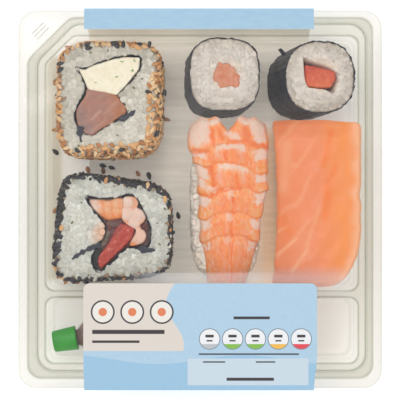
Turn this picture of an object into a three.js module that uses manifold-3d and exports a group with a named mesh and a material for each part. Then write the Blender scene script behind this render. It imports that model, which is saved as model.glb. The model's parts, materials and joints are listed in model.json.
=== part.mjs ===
// Takeaway sushi tray: a clear thermoformed tray with two wells, sealed with a clear film and held by a
// card sleeve. It holds two inside-out rolls, two small maki, a prawn nigiri, a salmon nigiri and a
// soy sauce bottle. Millimetres, +Z up, +Y towards the back of the tray, origin under the middle.
import * as THREE from 'three';
import { mergeVertices } from 'three/addons/utils/BufferGeometryUtils.js';
import Module from 'manifold-3d';

const wasm = await Module();
wasm.setup();

// ---- Driving dimensions -------------------------------------------------------------------------

const GAP = 0.3; // clearance between pieces that touch
const SHEET = 0.6; // tray wall
const CARD = 0.4; // sleeve board
const FILM = 0.2; // sealed lid
const NORI = 0.5; // seaweed sheet

const TRAY_BASE = CARD + GAP; // the tray stands on the sleeve's floor panel
const FLOOR = TRAY_BASE + SHEET; // inside floor of both wells
const FOOD_BASE = FLOOR + GAP;
const SHELF = 23; // top of the shelf round the wells and of the divider
const FLANGE = 29; // top of the sealing flange
const FILM_BASE = FLANGE + GAP;
const SLEEVE_TOP = FILM_BASE + FILM + GAP + CARD;

const CORNER_POINTS = 6; // points on each corner of a tray outline
const WALL_DRAFT = 0.6; // how far a well's wall leans in from the shelf to the floor
const FLOOR_RADIUS = 1.6; // between a well's wall and its floor

// Outlines of the tray from above; a chamfer is the 45 degree corner at the back left.
const FLANGE_BOX = { left: -65.5, right: 65.5, front: -68, back: 68, radius: 6.7, chamfer: 0 };
const STEP_TOP_BOX = { left: -61.7, right: 61.7, front: -64, back: 65, radius: 5, chamfer: 15 };
const STEP_FOOT_BOX = { left: -59.3, right: 60.3, front: -62.5, back: 63.9, radius: 4.4, chamfer: 13.6 };
const MAIN_BOX = { left: -56, right: 57.2, front: -33, back: 59.2, radius: 3.4, chamfer: 10 };
const FRONT_BOX = { left: -56, right: 57.2, front: -59.4, back: -35.9, radius: 3.4, chamfer: 0 };
const FILM_INSET = 0.4; // the film ends this far inside the flange's edge
const PEEL_MARK = { length: 6, width: 1, depth: 0.25, centre: [-57.6, 60.6] }; // groove across the corner

const SLEEVE_CENTRE = -0.4;
const SLEEVE_WIDTH = 82.6;
const SLEEVE_REACH = 68.9; // how far the folds stand out from the middle, at flange level
const SLEEVE_FOOT = 61.5; // how far the folds stand out from the middle, on the table
const SLEEVE_FOLD = 0.6; // size of the folds' rounding
const STRIP_EDGE = 61.2; // inner edge of the short flap over the back of the film
const LABEL_EDGE = -30.2; // inner edge of the long flap over the front
const LABEL_WIDTH = 84;
const LABEL_FLARE = 12.5; // length over which the label widens from the front fold
const LABEL_RADIUS = 2.3;

const RICE_BUMP = 0.42; // half height of the rice grains' relief
const CROWN = 0.5; // how far the cut end of a filling is rounded
const FILLING_SAMPLES = 18;
const NORI_SAMPLES = 40;
const MAKI_SAMPLES = 30;
const SEED = { length: 3.3, width: 1.9, thickness: 1.1, sink: 0.2 };
const RIM_SEED = { drop: 1.1, inset: 0.45, tip: Math.PI / 4 }; // seeds that lie over a roll's upper edge

const SESAME_ROLL = {
  centre: [-32.9, 36.2],
  corners: [[19.4, 21.3], [-19.3, 21.2], [-19.3, -21.2], [18.6, -20.6]],
  chamfer: 26.2,
  power: 4.6,
  height: 19.6,
  edge: 2.4,
  seedRows: [4.2, 11.6],
  seedsPerRow: 10,
  rimSeeds: 16,
};
const SESAME_ROLL_NORI = {
  loop: [[-45.4, 48.1], [-36.8, 51.3], [-23.2, 52.7], [-20.7, 49.3], [-25.4, 41.9], [-28.6, 37.6],
    [-25.9, 32.3], [-30.8, 27.4], [-36.2, 24.6], [-40.2, 21.8], [-45.9, 27.0], [-45.8, 33.6], [-43.3, 38.9]],
  tails: [[[-40.6, 22.4], [-42.0, 18.7]], [[-26.7, 30.9], [-22.4, 33.2]]],
};
const CREAM_CHEESE = [[-43.4, 46.9], [-36.6, 49.8], [-23.9, 51.2], [-22.2, 48.8], [-27.2, 41.6],
  [-31.0, 38.9], [-36.0, 39.9], [-41.0, 40.5]];
const ROLL_SALMON = [[-41.6, 37.9], [-35.4, 38.2], [-30.8, 36.4], [-27.8, 32.4], [-31.9, 28.9],
  [-36.8, 26.4], [-40.1, 24.1], [-44.2, 27.8], [-44.1, 33.3]];

const BLACK_SESAME_ROLL = {
  centre: [-31.2, -11],
  corners: [[20.8, 15.7], [-18.2, 21.2], [-22.4, -19.4], [20.8, -16.6]],
  power: 4.4,
  height: 19,
  edge: 2.4,
  seedRows: [4.2, 11.4],
  seedsPerRow: 9,
  rimSeeds: 16,
};
const BLACK_SESAME_ROLL_NORI = {
  loop: [[-40.4, 0.8], [-33.6, 0.9], [-25.2, 2.2], [-21.2, -1.8], [-18.9, -6.5], [-18.2, -13.2],
    [-21.2, -18.3], [-28.6, -21.9], [-36.2, -27.0], [-39.0, -24.6], [-38.6, -18.2], [-36.2, -11.4],
    [-40.6, -4.6]],
  tails: [[[-38.9, -18.8], [-46.4, -22.0]], [[-20.6, -17.8], [-16.4, -18.2]]],
};
const PEPPER_STRIP = [[-28.8, -9.3], [-25.0, -10.7], [-26.6, -16.2], [-30.6, -20.6], [-36.4, -25.3],
  [-37.4, -23.2], [-36.6, -19.8], [-32.4, -14.6]];
const LEFT_PRAWN = [[-39.0, -0.6], [-33.6, -0.7], [-29.9, -0.2], [-29.4, -3.6], [-31.6, -7.6], [-34.0, -9.6],
  [-38.6, -4.6]];
const RIGHT_PRAWN = [[-27.9, 0.2], [-25.4, 0.9], [-22.6, -2.6], [-20.5, -6.8], [-19.8, -12.8], [-22.0, -16.6],
  [-24.2, -15.6], [-23.8, -9.9], [-27.6, -7.4]];

const SALMON_MAKI = {
  centre: [9.1, 45.4],
  corners: [[12.9, 13.3], [-12.7, 13.3], [-12.9, -13.3], [12.7, -13.3]],
  power: 2.7,
  height: 20,
  edge: 1.2,
  lean: [2.1, 1.6],
  slope: [0.03, 0.05],
};
const MAKI_SALMON = [[4.6, 4.0], [0.6, 5.0], [-3.6, 4.6], [-5.0, 1.0], [-4.4, -3.8], [-0.6, -5.2],
  [3.6, -4.4], [5.2, -0.6]];
const PEPPER_MAKI = {
  centre: [43.8, 44.6],
  corners: [[12.9, 13.4], [-12.8, 13.2], [-13.0, -13.2], [12.9, -13.2]],
  power: 2.4,
  height: 19.4,
  edge: 1.2,
  lean: [5.8, 1.6],
  slope: [-0.16, -0.05],
};
const MAKI_PEPPER = [[4.6, 4.0], [-4.2, 5.0], [-5.4, 1.6], [-4.6, -2.8], [1.2, -3.2], [5.8, 0.6]];

const PRAWN_RICE = {
  centre: [9.4, -3.2], halfWidth: 13, halfLength: 25.6, power: 3, height: 19.6, edge: 6.4,
};
const PRAWN = {
  head: 30.3,
  tail: -32.2,
  middle: [10.1, 9.8, 11.4, 11.3, 10.9, 10.4, 9.9, 9.6],
  halfWidth: [13.2, 14.8, 13.6, 13.1, 12.0, 10.4, 8.4, 7.0],
  crown: [21.4, 23.4, 23.8, 23.8, 23.6, 23.0, 21.4, 18.6],
  segments: [20.1, 12.1, 3.4, -5.7, -14.1],
  notch: { depth: 5.4, halfWidth: 3.4 },
  swell: 0.9, // rise of each segment
  sag: 4.6,
  sagPower: 2.4,
  thickness: 4.2,
  rim: 2.2,
};
const COVER_CLEARANCE = GAP + 0.1; // between a nigiri's rice and what lies on it
const SALMON_RICE = {
  centre: [41.6, -1.6], halfWidth: 12.6, halfLength: 25.4, power: 3, height: 19.4, edge: 6,
};
const SALMON = {
  back: 28.9,
  front: -31.9,
  left: 26.3,
  right: 58.7,
  profile: [18.8, 22.4, 24.2, 25.0, 25.6, 26.5],
  endDrop: 2.6,
  endShare: 0.12, // share of the length over which each end drops
  thickness: 4.4,
  rim: 2.5,
  cornerRadius: 12,
  waist: 0.9, // how far the left edge is drawn in
  ripple: 0.25,
};

const BOTTLE = { mouth: [-54.7, -53.0], turn: 10, axisHeight: FOOD_BASE + 6.6, flatness: 0.82, wall: 0.6 };
const BOTTLE_PROFILE = [[3.0, 6.4], [3.0, 9.4], [5.2, 11.2], [7.0, 15.4], [8.0, 22], [8.0, 30], [6.6, 38],
  [4.2, 44], [2.0, 47]];
const BOTTLE_END = 48;
const BOTTLE_SIDES = 14;
const CAP = { length: 9, mouthRadius: 3.9, rimRadius: 4.5, rimLength: 0.8, edge: 0.5, sides: 14 };

// ---- Materials ----------------------------------------------------------------------------------

function paint(color, roughness, opacity = 1) {
  return new THREE.MeshStandardMaterial({
    color, roughness, metalness: 0, opacity, transparent: opacity < 1,
  });
}

const RICE_PAINT = 0xcbcbc2;
const NORI_PAINT = 0x3c3e42;

// ---- Solids: joining, cutting and moulding ------------------------------------------------------

function weld(geometry) {
  geometry.deleteAttribute('normal');
  geometry.deleteAttribute('uv');
  return mergeVertices(geometry, 1e-4);
}

function toSolid(geometry) {
  const welded = weld(geometry);
  return new wasm.Manifold(new wasm.Mesh({
    numProp: 3,
    vertProperties: new Float32Array(welded.getAttribute('position').array),
    triVerts: new Uint32Array(welded.getIndex().array),
  }));
}

function toGeometry(solid) {
  const { vertProperties, triVerts } = solid.getMesh();
  const geometry = new THREE.BufferGeometry();
  geometry.setAttribute('position', new THREE.Float32BufferAttribute(vertProperties, 3));
  geometry.setIndex(new THREE.Uint32BufferAttribute(triVerts, 1));
  return geometry;
}

function join(geometries) {
  return geometries.map(toSolid).reduce((whole, piece) => whole.add(piece));
}

// Moves every vertex of a closed geometry by a rule, keeping it closed.
function mould(geometry, move) {
  const welded = weld(geometry);
  const position = welded.getAttribute('position');
  const point = new THREE.Vector3();
  for (let i = 0; i < position.count; i += 1) {
    point.fromBufferAttribute(position, i);
    move(point);
    position.setXYZ(i, point.x, point.y, point.z);
  }
  return welded;
}

// An even draw from 0 to 1 that is the same on every run.
function seededRandom(seed) {
  let state = seed;
  return () => {
    state = (state * 16807) % 2147483647;
    return state / 2147483647;
  };
}

// ---- Outlines -----------------------------------------------------------------------------------

function toVectors(points) {
  return points.map(([x, y]) => new THREE.Vector2(x, y));
}

// A closed smooth curve through a few points, sampled evenly and returned anticlockwise.
function smoothLoop(points, samples) {
  const knots = points.map(([x, y]) => new THREE.Vector3(x, y, 0));
  const curve = new THREE.CatmullRomCurve3(knots, true, 'centripetal');
  const spaced = curve.getSpacedPoints(samples).slice(0, samples);
  const loop = spaced.map(({ x, y }) => new THREE.Vector2(x, y));
  return THREE.ShapeUtils.isClockWise(loop) ? loop.reverse() : loop;
}

// The loop moved outwards by a distance, or inwards if it is negative.
function offsetLoop(loop, distance) {
  return loop.map((point, i) => {
    const before = loop[(i + loop.length - 1) % loop.length];
    const after = loop[(i + 1) % loop.length];
    const along = after.clone().sub(before).normalize();
    return new THREE.Vector2(point.x + along.y * distance, point.y - along.x * distance);
  });
}

function arcPoints(centreX, centreY, radius, start, end, count) {
  return Array.from({ length: count }, (_, i) => {
    const angle = start + ((end - start) * i) / (count - 1);
    return new THREE.Vector2(centreX + radius * Math.cos(angle), centreY + radius * Math.sin(angle));
  });
}

// A tray outline moved inwards, or grown outwards together with its corners' radius.
function trayOutline(box, inset, grow) {
  const shift = inset - grow;
  const [x0, x1] = [box.left + shift, box.right - shift];
  const [y0, y1] = [box.front + shift, box.back - shift];
  const radius = box.radius + grow;
  const turn = Math.PI / 2;
  const half = CORNER_POINTS / 2;
  const reach = radius * Math.tan(turn / 4);
  const cut = box.chamfer - shift * (2 - Math.SQRT2);
  const backLeft = box.chamfer === 0
    ? arcPoints(x0 + radius, y1 - radius, radius, turn, 2 * turn, CORNER_POINTS)
    : [
      ...arcPoints(x0 + cut + reach, y1 - radius, radius, turn, 1.5 * turn, half),
      ...arcPoints(x0 + radius, y1 - cut - reach, radius, 1.5 * turn, 2 * turn, half),
    ];
  return [
    ...arcPoints(x1 - radius, y1 - radius, radius, 0, turn, CORNER_POINTS),
    ...backLeft,
    ...arcPoints(x0 + radius, y0 + radius, radius, 2 * turn, 3 * turn, CORNER_POINTS),
    ...arcPoints(x1 - radius, y0 + radius, radius, 3 * turn, 4 * turn, CORNER_POINTS),
  ];
}

function prism(outline, low, high) {
  const straight = { depth: high - low, bevelEnabled: false };
  return new THREE.ExtrudeGeometry(new THREE.Shape(outline), straight).translate(0, 0, low);
}

// An extrusion of the first ring's outline whose steps are moved onto the outlines of the others.
function loft(rings) {
  const first = rings[0].outline;
  const steps = rings.length - 1;
  const bar = new THREE.ExtrudeGeometry(new THREE.Shape(first), { depth: steps, steps, bevelEnabled: false });
  return mould(bar, (point) => {
    const ring = rings[Math.round(point.z)];
    const index = first.findIndex((corner) => Math.hypot(corner.x - point.x, corner.y - point.y) < 1e-4);
    point.set(ring.outline[index].x, ring.outline[index].y, ring.z);
  });
}

// ---- Tray, film and sleeve ----------------------------------------------------------------------

// One well as a solid block: grown by the sheet it is the outside, and at its own size the hollow.
function wellBlock(box, grow, top) {
  const floor = FLOOR - grow;
  const ring = (z, inset) => {
    const draft = WALL_DRAFT * ((SHELF - z) / (SHELF - FLOOR));
    return { z, outline: trayOutline(box, draft + inset, grow) };
  };
  return loft([
    ring(floor, FLOOR_RADIUS),
    ring(floor + 0.3 * FLOOR_RADIUS, 0.3 * FLOOR_RADIUS),
    ring(floor + FLOOR_RADIUS, 0),
    ring(top, 0),
  ]);
}

// The shallow step between the flange and the shelf.
function stepBlock(grow, low, high) {
  return loft([
    { z: low, outline: trayOutline(STEP_FOOT_BOX, 0, grow) },
    { z: high, outline: trayOutline(STEP_TOP_BOX, 0, grow) },
  ]);
}

function makeTray() {
  const outside = join([
    prism(trayOutline(FLANGE_BOX, 0, 0), FLANGE - SHEET, FLANGE),
    stepBlock(SHEET, SHELF - SHEET, FLANGE - SHEET / 2),
    wellBlock(MAIN_BOX, SHEET, SHELF - SHEET / 2),
    wellBlock(FRONT_BOX, SHEET, SHELF - SHEET / 2),
  ]);
  const hollow = join([
    stepBlock(0, SHELF, FLANGE + SHEET),
    wellBlock(MAIN_BOX, 0, SHELF + SHEET),
    wellBlock(FRONT_BOX, 0, SHELF + SHEET),
  ]);
  const { length, width, depth, centre } = PEEL_MARK;
  const peelMark = new THREE.BoxGeometry(length, width, 2 * depth);
  peelMark.rotateZ(Math.PI / 4).translate(centre[0], centre[1], FLANGE);
  return toGeometry(outside.subtract(hollow).subtract(toSolid(peelMark)));
}

function makeFilm() {
  return prism(trayOutline(FLANGE_BOX, 0, -FILM_INSET), FILM_BASE, FILM_BASE + FILM);
}

// A strip of even thickness along a line of points, its outer side to the right of the line.
function ribbon(line, thickness) {
  const inner = line.map((point, i) => {
    const before = line[Math.max(i - 1, 0)];
    const after = line[Math.min(i + 1, line.length - 1)];
    const arriving = point.clone().sub(before).normalize();
    const leaving = after.clone().sub(point).normalize();
    const along = arriving.clone().add(leaving).normalize();
    const straight = i === 0 ? leaving : arriving;
    const widen = 1 / Math.max(straight.dot(along), 0.5);
    return new THREE.Vector2(point.x - along.y * thickness * widen, point.y + along.x * thickness * widen);
  });
  return [...line, ...inner.reverse()];
}

function makeSleeve() {
  const fold = SLEEVE_FOLD;
  const run = toVectors([
    [STRIP_EDGE, SLEEVE_TOP],
    [SLEEVE_REACH - fold, SLEEVE_TOP],
    [SLEEVE_REACH, SLEEVE_TOP - fold],
    [SLEEVE_FOOT, fold],
    [SLEEVE_FOOT - fold, 0],
    [fold - SLEEVE_FOOT, 0],
    [-SLEEVE_FOOT, fold],
    [-SLEEVE_REACH, SLEEVE_TOP - fold],
    [fold - SLEEVE_REACH, SLEEVE_TOP],
    [LABEL_EDGE - LABEL_RADIUS, SLEEVE_TOP],
  ]);
  const wrap = new THREE.ExtrudeGeometry(new THREE.Shape(ribbon(run.reverse(), CARD)), {
    depth: SLEEVE_WIDTH, bevelEnabled: false,
  });
  const standing = mould(wrap, (point) => {
    point.set(point.z + SLEEVE_CENTRE - SLEEVE_WIDTH / 2, point.x, point.y);
  });
  const half = LABEL_WIDTH / 2;
  const label = new THREE.Shape([
    ...arcPoints(half - LABEL_RADIUS, LABEL_EDGE - LABEL_RADIUS, LABEL_RADIUS, 0, Math.PI / 2, 5),
    ...arcPoints(LABEL_RADIUS - half, LABEL_EDGE - LABEL_RADIUS, LABEL_RADIUS, Math.PI / 2, Math.PI, 5),
    new THREE.Vector2(-half, LABEL_FLARE - SLEEVE_REACH),
    new THREE.Vector2(SLEEVE_CENTRE - SLEEVE_WIDTH / 2, fold - SLEEVE_REACH),
    new THREE.Vector2(SLEEVE_CENTRE + SLEEVE_WIDTH / 2, fold - SLEEVE_REACH),
    new THREE.Vector2(half, LABEL_FLARE - SLEEVE_REACH),
  ]);
  const flap = new THREE.ExtrudeGeometry(label, { depth: CARD, bevelEnabled: false });
  flap.translate(0, 0, SLEEVE_TOP - CARD);
  return toGeometry(join([standing, flap]));
}

// ---- Rice ---------------------------------------------------------------------------------------

// The outline point of a roll at an angle from its centre: a squarish round spread over four corners.
function rollPoint({ corners, power, chamfer = Infinity }, angle) {
  const [c, s] = [Math.cos(angle), Math.sin(angle)];
  const reach = (Math.abs(c) ** power + Math.abs(s) ** power) ** (-1 / power);
  const [u, v] = [reach * c, reach * s];
  const weights = [(1 + u) * (1 + v), (1 - u) * (1 + v), (1 - u) * (1 - v), (1 + u) * (1 - v)];
  const point = new THREE.Vector2();
  corners.forEach(([x, y], i) => point.add(new THREE.Vector2(x, y).multiplyScalar(weights[i] / 4)));
  const overhang = (point.y - point.x) / Math.SQRT2 - chamfer;
  return overhang > 0 ? point.multiplyScalar(chamfer / (chamfer + overhang)) : point;
}

// Heights and insets of the rings up a block's side, round at both edges.
function sideRings(height, edge, middle) {
  const turns = [0, Math.PI / 4, Math.PI / 2];
  const foot = turns.map((turn) => ({ z: edge * (1 - Math.cos(turn)), inset: edge * (1 - Math.sin(turn)) }));
  const wall = Array.from({ length: middle }, (_, i) => ({
    z: edge + ((height - 2 * edge) * (i + 1)) / (middle + 1), inset: 0,
  }));
  const rim = foot.map(({ z, inset }) => ({ z: height - z, inset })).reverse();
  return [...foot, ...wall, ...rim];
}

// A block of rice with a flat foot and the relief of its grains on the sides and the top.
function riceBlock({ pointAt, height, edge, cells, middle, seed }) {
  const rings = sideRings(height, edge, middle);
  const random = seededRandom(seed);
  const box = new THREE.BoxGeometry(2, 2, 1, cells, cells, rings.length - 1);
  return mould(box, (point) => {
    const level = Math.round((point.z + 0.5) * (rings.length - 1));
    const spread = Math.max(Math.abs(point.x), Math.abs(point.y));
    const { z, inset } = rings[level];
    const rim = pointAt(Math.atan2(point.y, point.x));
    const bump = level === 0 ? 0 : RICE_BUMP * (2 * random() - 1);
    const reach = spread * (1 - (inset - (spread === 1 ? bump : 0)) / rim.length());
    point.set(rim.x * reach, rim.y * reach, level === rings.length - 1 ? z + bump : z);
  });
}

// A sesame seed lying on the side of a roll, pressed into the rice.
function sesameSeed(roll, angle, height, inset, tip, spin) {
  const here = rollPoint(roll, angle);
  const next = rollPoint(roll, angle + 0.05);
  const along = next.clone().sub(here).normalize();
  const outward = new THREE.Vector3(along.y, -along.x, 0);
  const seed = new THREE.IcosahedronGeometry(0.5, 0);
  seed.scale(SEED.length, SEED.width, SEED.thickness);
  seed.rotateZ(spin);
  const side = new THREE.Vector3(along.x, along.y, 0);
  const up = new THREE.Vector3(0, 0, 1);
  seed.applyMatrix4(new THREE.Matrix4().makeBasis(side, up, outward));
  seed.applyMatrix4(new THREE.Matrix4().makeRotationAxis(side, -tip));
  const depth = SEED.sink + inset;
  return seed.translate(here.x - depth * outward.x, here.y - depth * outward.y, height);
}

function seedCoat(roll, seed) {
  const random = seededRandom(seed);
  const ring = (count, height, scatter, inset, tip) => Array.from({ length: count }, (_, i) => {
    const angle = ((i + 0.7 * random()) * 2 * Math.PI) / count;
    return sesameSeed(roll, angle, height + scatter * (random() - 0.5), inset, tip, Math.PI * random());
  });
  const rows = roll.seedRows.flatMap((height) => ring(roll.seedsPerRow, height, 1.6, 0, 0));
  const rim = ring(roll.rimSeeds, roll.height - RIM_SEED.drop, 0.6, RIM_SEED.inset, RIM_SEED.tip);
  return [...rows, ...rim];
}

// ---- Inside-out rolls ---------------------------------------------------------------------------

// A straight end of nori that runs out into the rice.
function noriTail([[x0, y0], [x1, y1]], thickness, high) {
  const length = Math.hypot(x1 - x0, y1 - y0);
  const tail = new THREE.BoxGeometry(length + thickness - NORI, thickness, high);
  return tail.rotateZ(Math.atan2(y1 - y0, x1 - x0)).translate((x0 + x1) / 2, (y0 + y1) / 2, high / 2);
}

function noriLoop({ loop }) {
  return smoothLoop(loop, NORI_SAMPLES);
}

// Places a piece modelled from the roll's foot upwards on the well's floor.
function stand(geometry, height = 0) {
  return geometry.translate(0, 0, FOOD_BASE + height);
}

function makeRollRice(roll, nori, seed) {
  const [x, y] = roll.centre;
  const pointAt = (angle) => rollPoint(roll, angle);
  const block = riceBlock({ ...roll, pointAt, cells: 10, middle: 2, seed });
  const coated = join([block, ...seedCoat(roll, seed + 1)]).translate([x, y, 0]);
  const tall = roll.height + 4; // the cuts run past both faces
  const core = toSolid(prism(offsetLoop(noriLoop(nori), NORI / 2 + GAP), -1, tall));
  const slots = nori.tails.map((tail) => noriTail(tail, NORI + 2 * GAP, 2 * tall).translate(0, 0, -tall / 2));
  const hollow = slots.reduce((rest, slot) => rest.subtract(toSolid(slot)), coated.subtract(core));
  return stand(toGeometry(hollow));
}

function makeRollNori(roll, nori) {
  const high = roll.height + 0.2;
  const loop = noriLoop(nori);
  const ring = new THREE.Shape(offsetLoop(loop, NORI / 2));
  ring.holes.push(new THREE.Path(offsetLoop(loop, -NORI / 2)));
  const band = new THREE.ExtrudeGeometry(ring, { depth: high, bevelEnabled: false });
  return stand(toGeometry(join([band, ...nori.tails.map((tail) => noriTail(tail, NORI, high))])));
}

// A filling that runs through a roll, its cut end slightly crowned.
function fillingBar(points, height) {
  const loop = smoothLoop(points, FILLING_SAMPLES);
  const filling = new THREE.ExtrudeGeometry(new THREE.Shape(offsetLoop(loop, -CROWN)), {
    depth: height - 2 * CROWN, bevelThickness: CROWN, bevelSize: CROWN, bevelSegments: 1, steps: 1,
  });
  return filling.translate(0, 0, CROWN);
}

function makeFilling(points, height) {
  return stand(fillingBar(points, height));
}

// ---- Small maki ---------------------------------------------------------------------------------

function makiLoop(roll, shrink) {
  return Array.from({ length: MAKI_SAMPLES }, (_, i) => {
    const rim = rollPoint(roll, (2 * Math.PI * i) / MAKI_SAMPLES);
    return rim.multiplyScalar(1 - shrink / rim.length());
  });
}

// Leans a piece of a roll over the floor: the foot stays flat and the cut face shifts and tips.
function leanOver(geometry, { centre, height, lean, slope }) {
  return stand(mould(geometry, (point) => {
    const rise = point.z / height;
    const tip = slope[0] * point.x + slope[1] * point.y;
    point.set(
      centre[0] + point.x + lean[0] * (rise - 1),
      centre[1] + point.y + lean[1] * (rise - 1),
      point.z + tip * rise,
    );
  }));
}

function makeMakiNori(roll) {
  const ring = new THREE.Shape(makiLoop(roll, 0));
  ring.holes.push(new THREE.Path(makiLoop(roll, NORI)));
  const band = new THREE.ExtrudeGeometry(ring, { depth: roll.height, bevelEnabled: false });
  return leanOver(band, roll);
}

function makeMakiRice(roll, core, seed) {
  const shrink = NORI + GAP + RICE_BUMP;
  const pointAt = (angle) => {
    const rim = rollPoint(roll, angle);
    return rim.multiplyScalar(1 - shrink / rim.length());
  };
  const block = riceBlock({ ...roll, pointAt, cells: 7, middle: 0, seed });
  const wall = offsetLoop(smoothLoop(core, FILLING_SAMPLES), GAP + 0.05);
  const hole = toSolid(prism(wall, -1, roll.height + 4));
  return leanOver(toGeometry(toSolid(block).subtract(hole)), roll);
}

function makeMakiCore(roll, core) {
  return leanOver(fillingBar(core, roll.height + 0.3), roll);
}

// ---- Nigiri -------------------------------------------------------------------------------------

// A value read from evenly spaced stations, smoothly from one to the next.
function along(stations, t) {
  const line = new THREE.SplineCurve(stations.map((value, i) => new THREE.Vector2(i, value)));
  return line.getPoint(Math.min(Math.max(t, 0), 1)).y;
}

function smoothStep(low, high, value) {
  return THREE.MathUtils.smoothstep(value, low, high);
}

// A thin slab over a grid: place(u, v, grow) gives a point of its upper face and the thickness there.
// Grown and lifted, it is the room that the slab needs in what it lies on.
function slab(place, { across, length }, grow = 0, lift = 0) {
  const grid = new THREE.BoxGeometry(2, 1, 2, across, length, 1);
  return mould(grid, (point) => {
    const { x, y, top, thickness } = place(point.x, 0.5 - point.y, grow);
    point.set(x, y, point.z > 0 ? top + lift : top - thickness - grow);
  });
}

// Ridges of the prawn's segments: each swells and then drops sharply to the next.
function segmentSwell(y) {
  const stops = [PRAWN.head, ...PRAWN.segments, PRAWN.tail];
  const i = Math.max(stops.findIndex((stop) => y > stop) - 1, 0);
  const t = (stops[i] - y) / (stops[i] - stops[i + 1]);
  return Math.sin(Math.PI * Math.min(Math.max(t, 0), 1)) ** 0.7;
}

function prawnPlace(u, v, grow) {
  const body = along(PRAWN.halfWidth, v);
  const notch = Math.max(0, 1 - Math.abs(body * u) / PRAWN.notch.halfWidth);
  const straight = THREE.MathUtils.lerp(PRAWN.head + grow, PRAWN.tail - grow, v);
  const y = straight - PRAWN.notch.depth * notch * (1 - v) ** 6;
  const swell = PRAWN.swell * (grow > 0 ? 1 : segmentSwell(y)); // the room for it takes its widest segment
  const halfWidth = body + swell - (2 / 3) * PRAWN.swell + grow;
  const edge = ((Math.abs(u) * halfWidth) / body) ** PRAWN.sagPower;
  return {
    x: along(PRAWN.middle, v) + u * halfWidth,
    y,
    top: along(PRAWN.crown, v) + swell - PRAWN.sag * edge,
    thickness: THREE.MathUtils.lerp(PRAWN.thickness, PRAWN.rim, edge) + swell,
  };
}

function salmonPlace(u, v, grow) {
  const { left, right, back, front, cornerRadius, endDrop, endShare, waist, ripple } = SALMON;
  const y = THREE.MathUtils.lerp(back + grow, front - grow, v);
  const past = Math.max(0, front + cornerRadius - y) / cornerRadius;
  const trim = cornerRadius * (1 - Math.sqrt(Math.max(0, 1 - Math.min(past, 1) ** 2)));
  const rightEdge = right - trim + grow;
  const leftEdge = left + waist * Math.sin(3 * v) - grow;
  const x = THREE.MathUtils.lerp(leftEdge, rightEdge, (u + 1) / 2);
  const across = (x - left) / (right - left);
  const end = 1 - smoothStep(0, endShare, v) + smoothStep(1 - endShare, 1, v);
  const inland = 1 - smoothStep(0.7, 0.9, across); // its right edge rests on the shelf
  const edge = Math.max(Math.abs(u) ** 4, Math.abs(2 * v - 1) ** 8);
  return {
    x,
    y,
    top: along(SALMON.profile, across) + (ripple * Math.sin(9 * v) - endDrop * end) * inland,
    thickness: THREE.MathUtils.lerp(SALMON.thickness, SALMON.rim, edge),
  };
}

function makeNigiriRice(block, place, grid, seed) {
  const { centre, halfWidth, halfLength } = block;
  const signs = [[1, 1], [-1, 1], [-1, -1], [1, -1]];
  const shape = { ...block, corners: signs.map(([x, y]) => [x * halfWidth, y * halfLength]) };
  const pointAt = (angle) => rollPoint(shape, angle);
  const rice = riceBlock({ ...shape, pointAt, cells: 8, middle: 1, seed });
  rice.translate(centre[0], centre[1], FOOD_BASE);
  const room = slab(place, grid, COVER_CLEARANCE, block.height);
  return toGeometry(toSolid(rice).subtract(toSolid(room)));
}

const PRAWN_GRID = { across: 10, length: 24 };
const SALMON_GRID = { across: 10, length: 13 };

// ---- Soy sauce bottle ---------------------------------------------------------------------------

const toProfile = (points) => points.map(([radius, height]) => new THREE.Vector2(radius, height));

// Lays a piece turned about its own axis in the front well, mouth to the left.
function layDown(geometry) {
  geometry.scale(1, 1, BOTTLE.flatness);
  geometry.rotateZ(-Math.PI / 2 + THREE.MathUtils.degToRad(BOTTLE.turn));
  return geometry.translate(BOTTLE.mouth[0], BOTTLE.mouth[1], BOTTLE.axisHeight);
}

function insideProfile(inset) {
  const axis = new THREE.Vector2(0, BOTTLE_END - inset);
  const inner = BOTTLE_PROFILE.map(([radius, height], i) => {
    const taper = (i / (BOTTLE_PROFILE.length - 1)) * inset * 0.6;
    return new THREE.Vector2(Math.max(radius - inset, 0.5), height - taper);
  });
  return [...inner, axis];
}

function makeBottle() {
  const outer = [...toProfile(BOTTLE_PROFILE), new THREE.Vector2(0, BOTTLE_END)];
  const profile = [...insideProfile(BOTTLE.wall).reverse(), ...outer];
  return layDown(new THREE.LatheGeometry(profile, BOTTLE_SIDES));
}

function makeSauce() {
  const profile = insideProfile(BOTTLE.wall + GAP);
  const start = new THREE.Vector2(0, profile[0].y + 1);
  profile[0].y += 1;
  return layDown(new THREE.LatheGeometry([start, ...profile], BOTTLE_SIDES));
}

function makeCap() {
  const [neck, mouth] = BOTTLE_PROFILE[0];
  const socket = neck + GAP;
  const depth = mouth - GAP;
  return layDown(new THREE.LatheGeometry(toProfile([
    [0, 0],
    [CAP.mouthRadius - CAP.edge, 0],
    [CAP.mouthRadius, CAP.edge],
    [CAP.rimRadius, CAP.length - CAP.rimLength],
    [CAP.rimRadius, CAP.length],
    [socket, CAP.length],
    [socket, depth],
    [0, depth],
  ]), CAP.sides));
}

// ---- The pack -----------------------------------------------------------------------------------

const pack = new THREE.Group();

function place(name, geometry, material) {
  const mesh = new THREE.Mesh(geometry, material);
  mesh.name = name;
  mesh.geometry.computeVertexNormals();
  pack.add(mesh);
}

place('tray', makeTray(), paint(0xe6e4dc, 0.15, 0.35));
place('film_lid', makeFilm(), paint(0xf2f2ef, 0.1, 0.2));
place('sleeve', makeSleeve(), paint(0xb2d3eb, 0.75));

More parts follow.
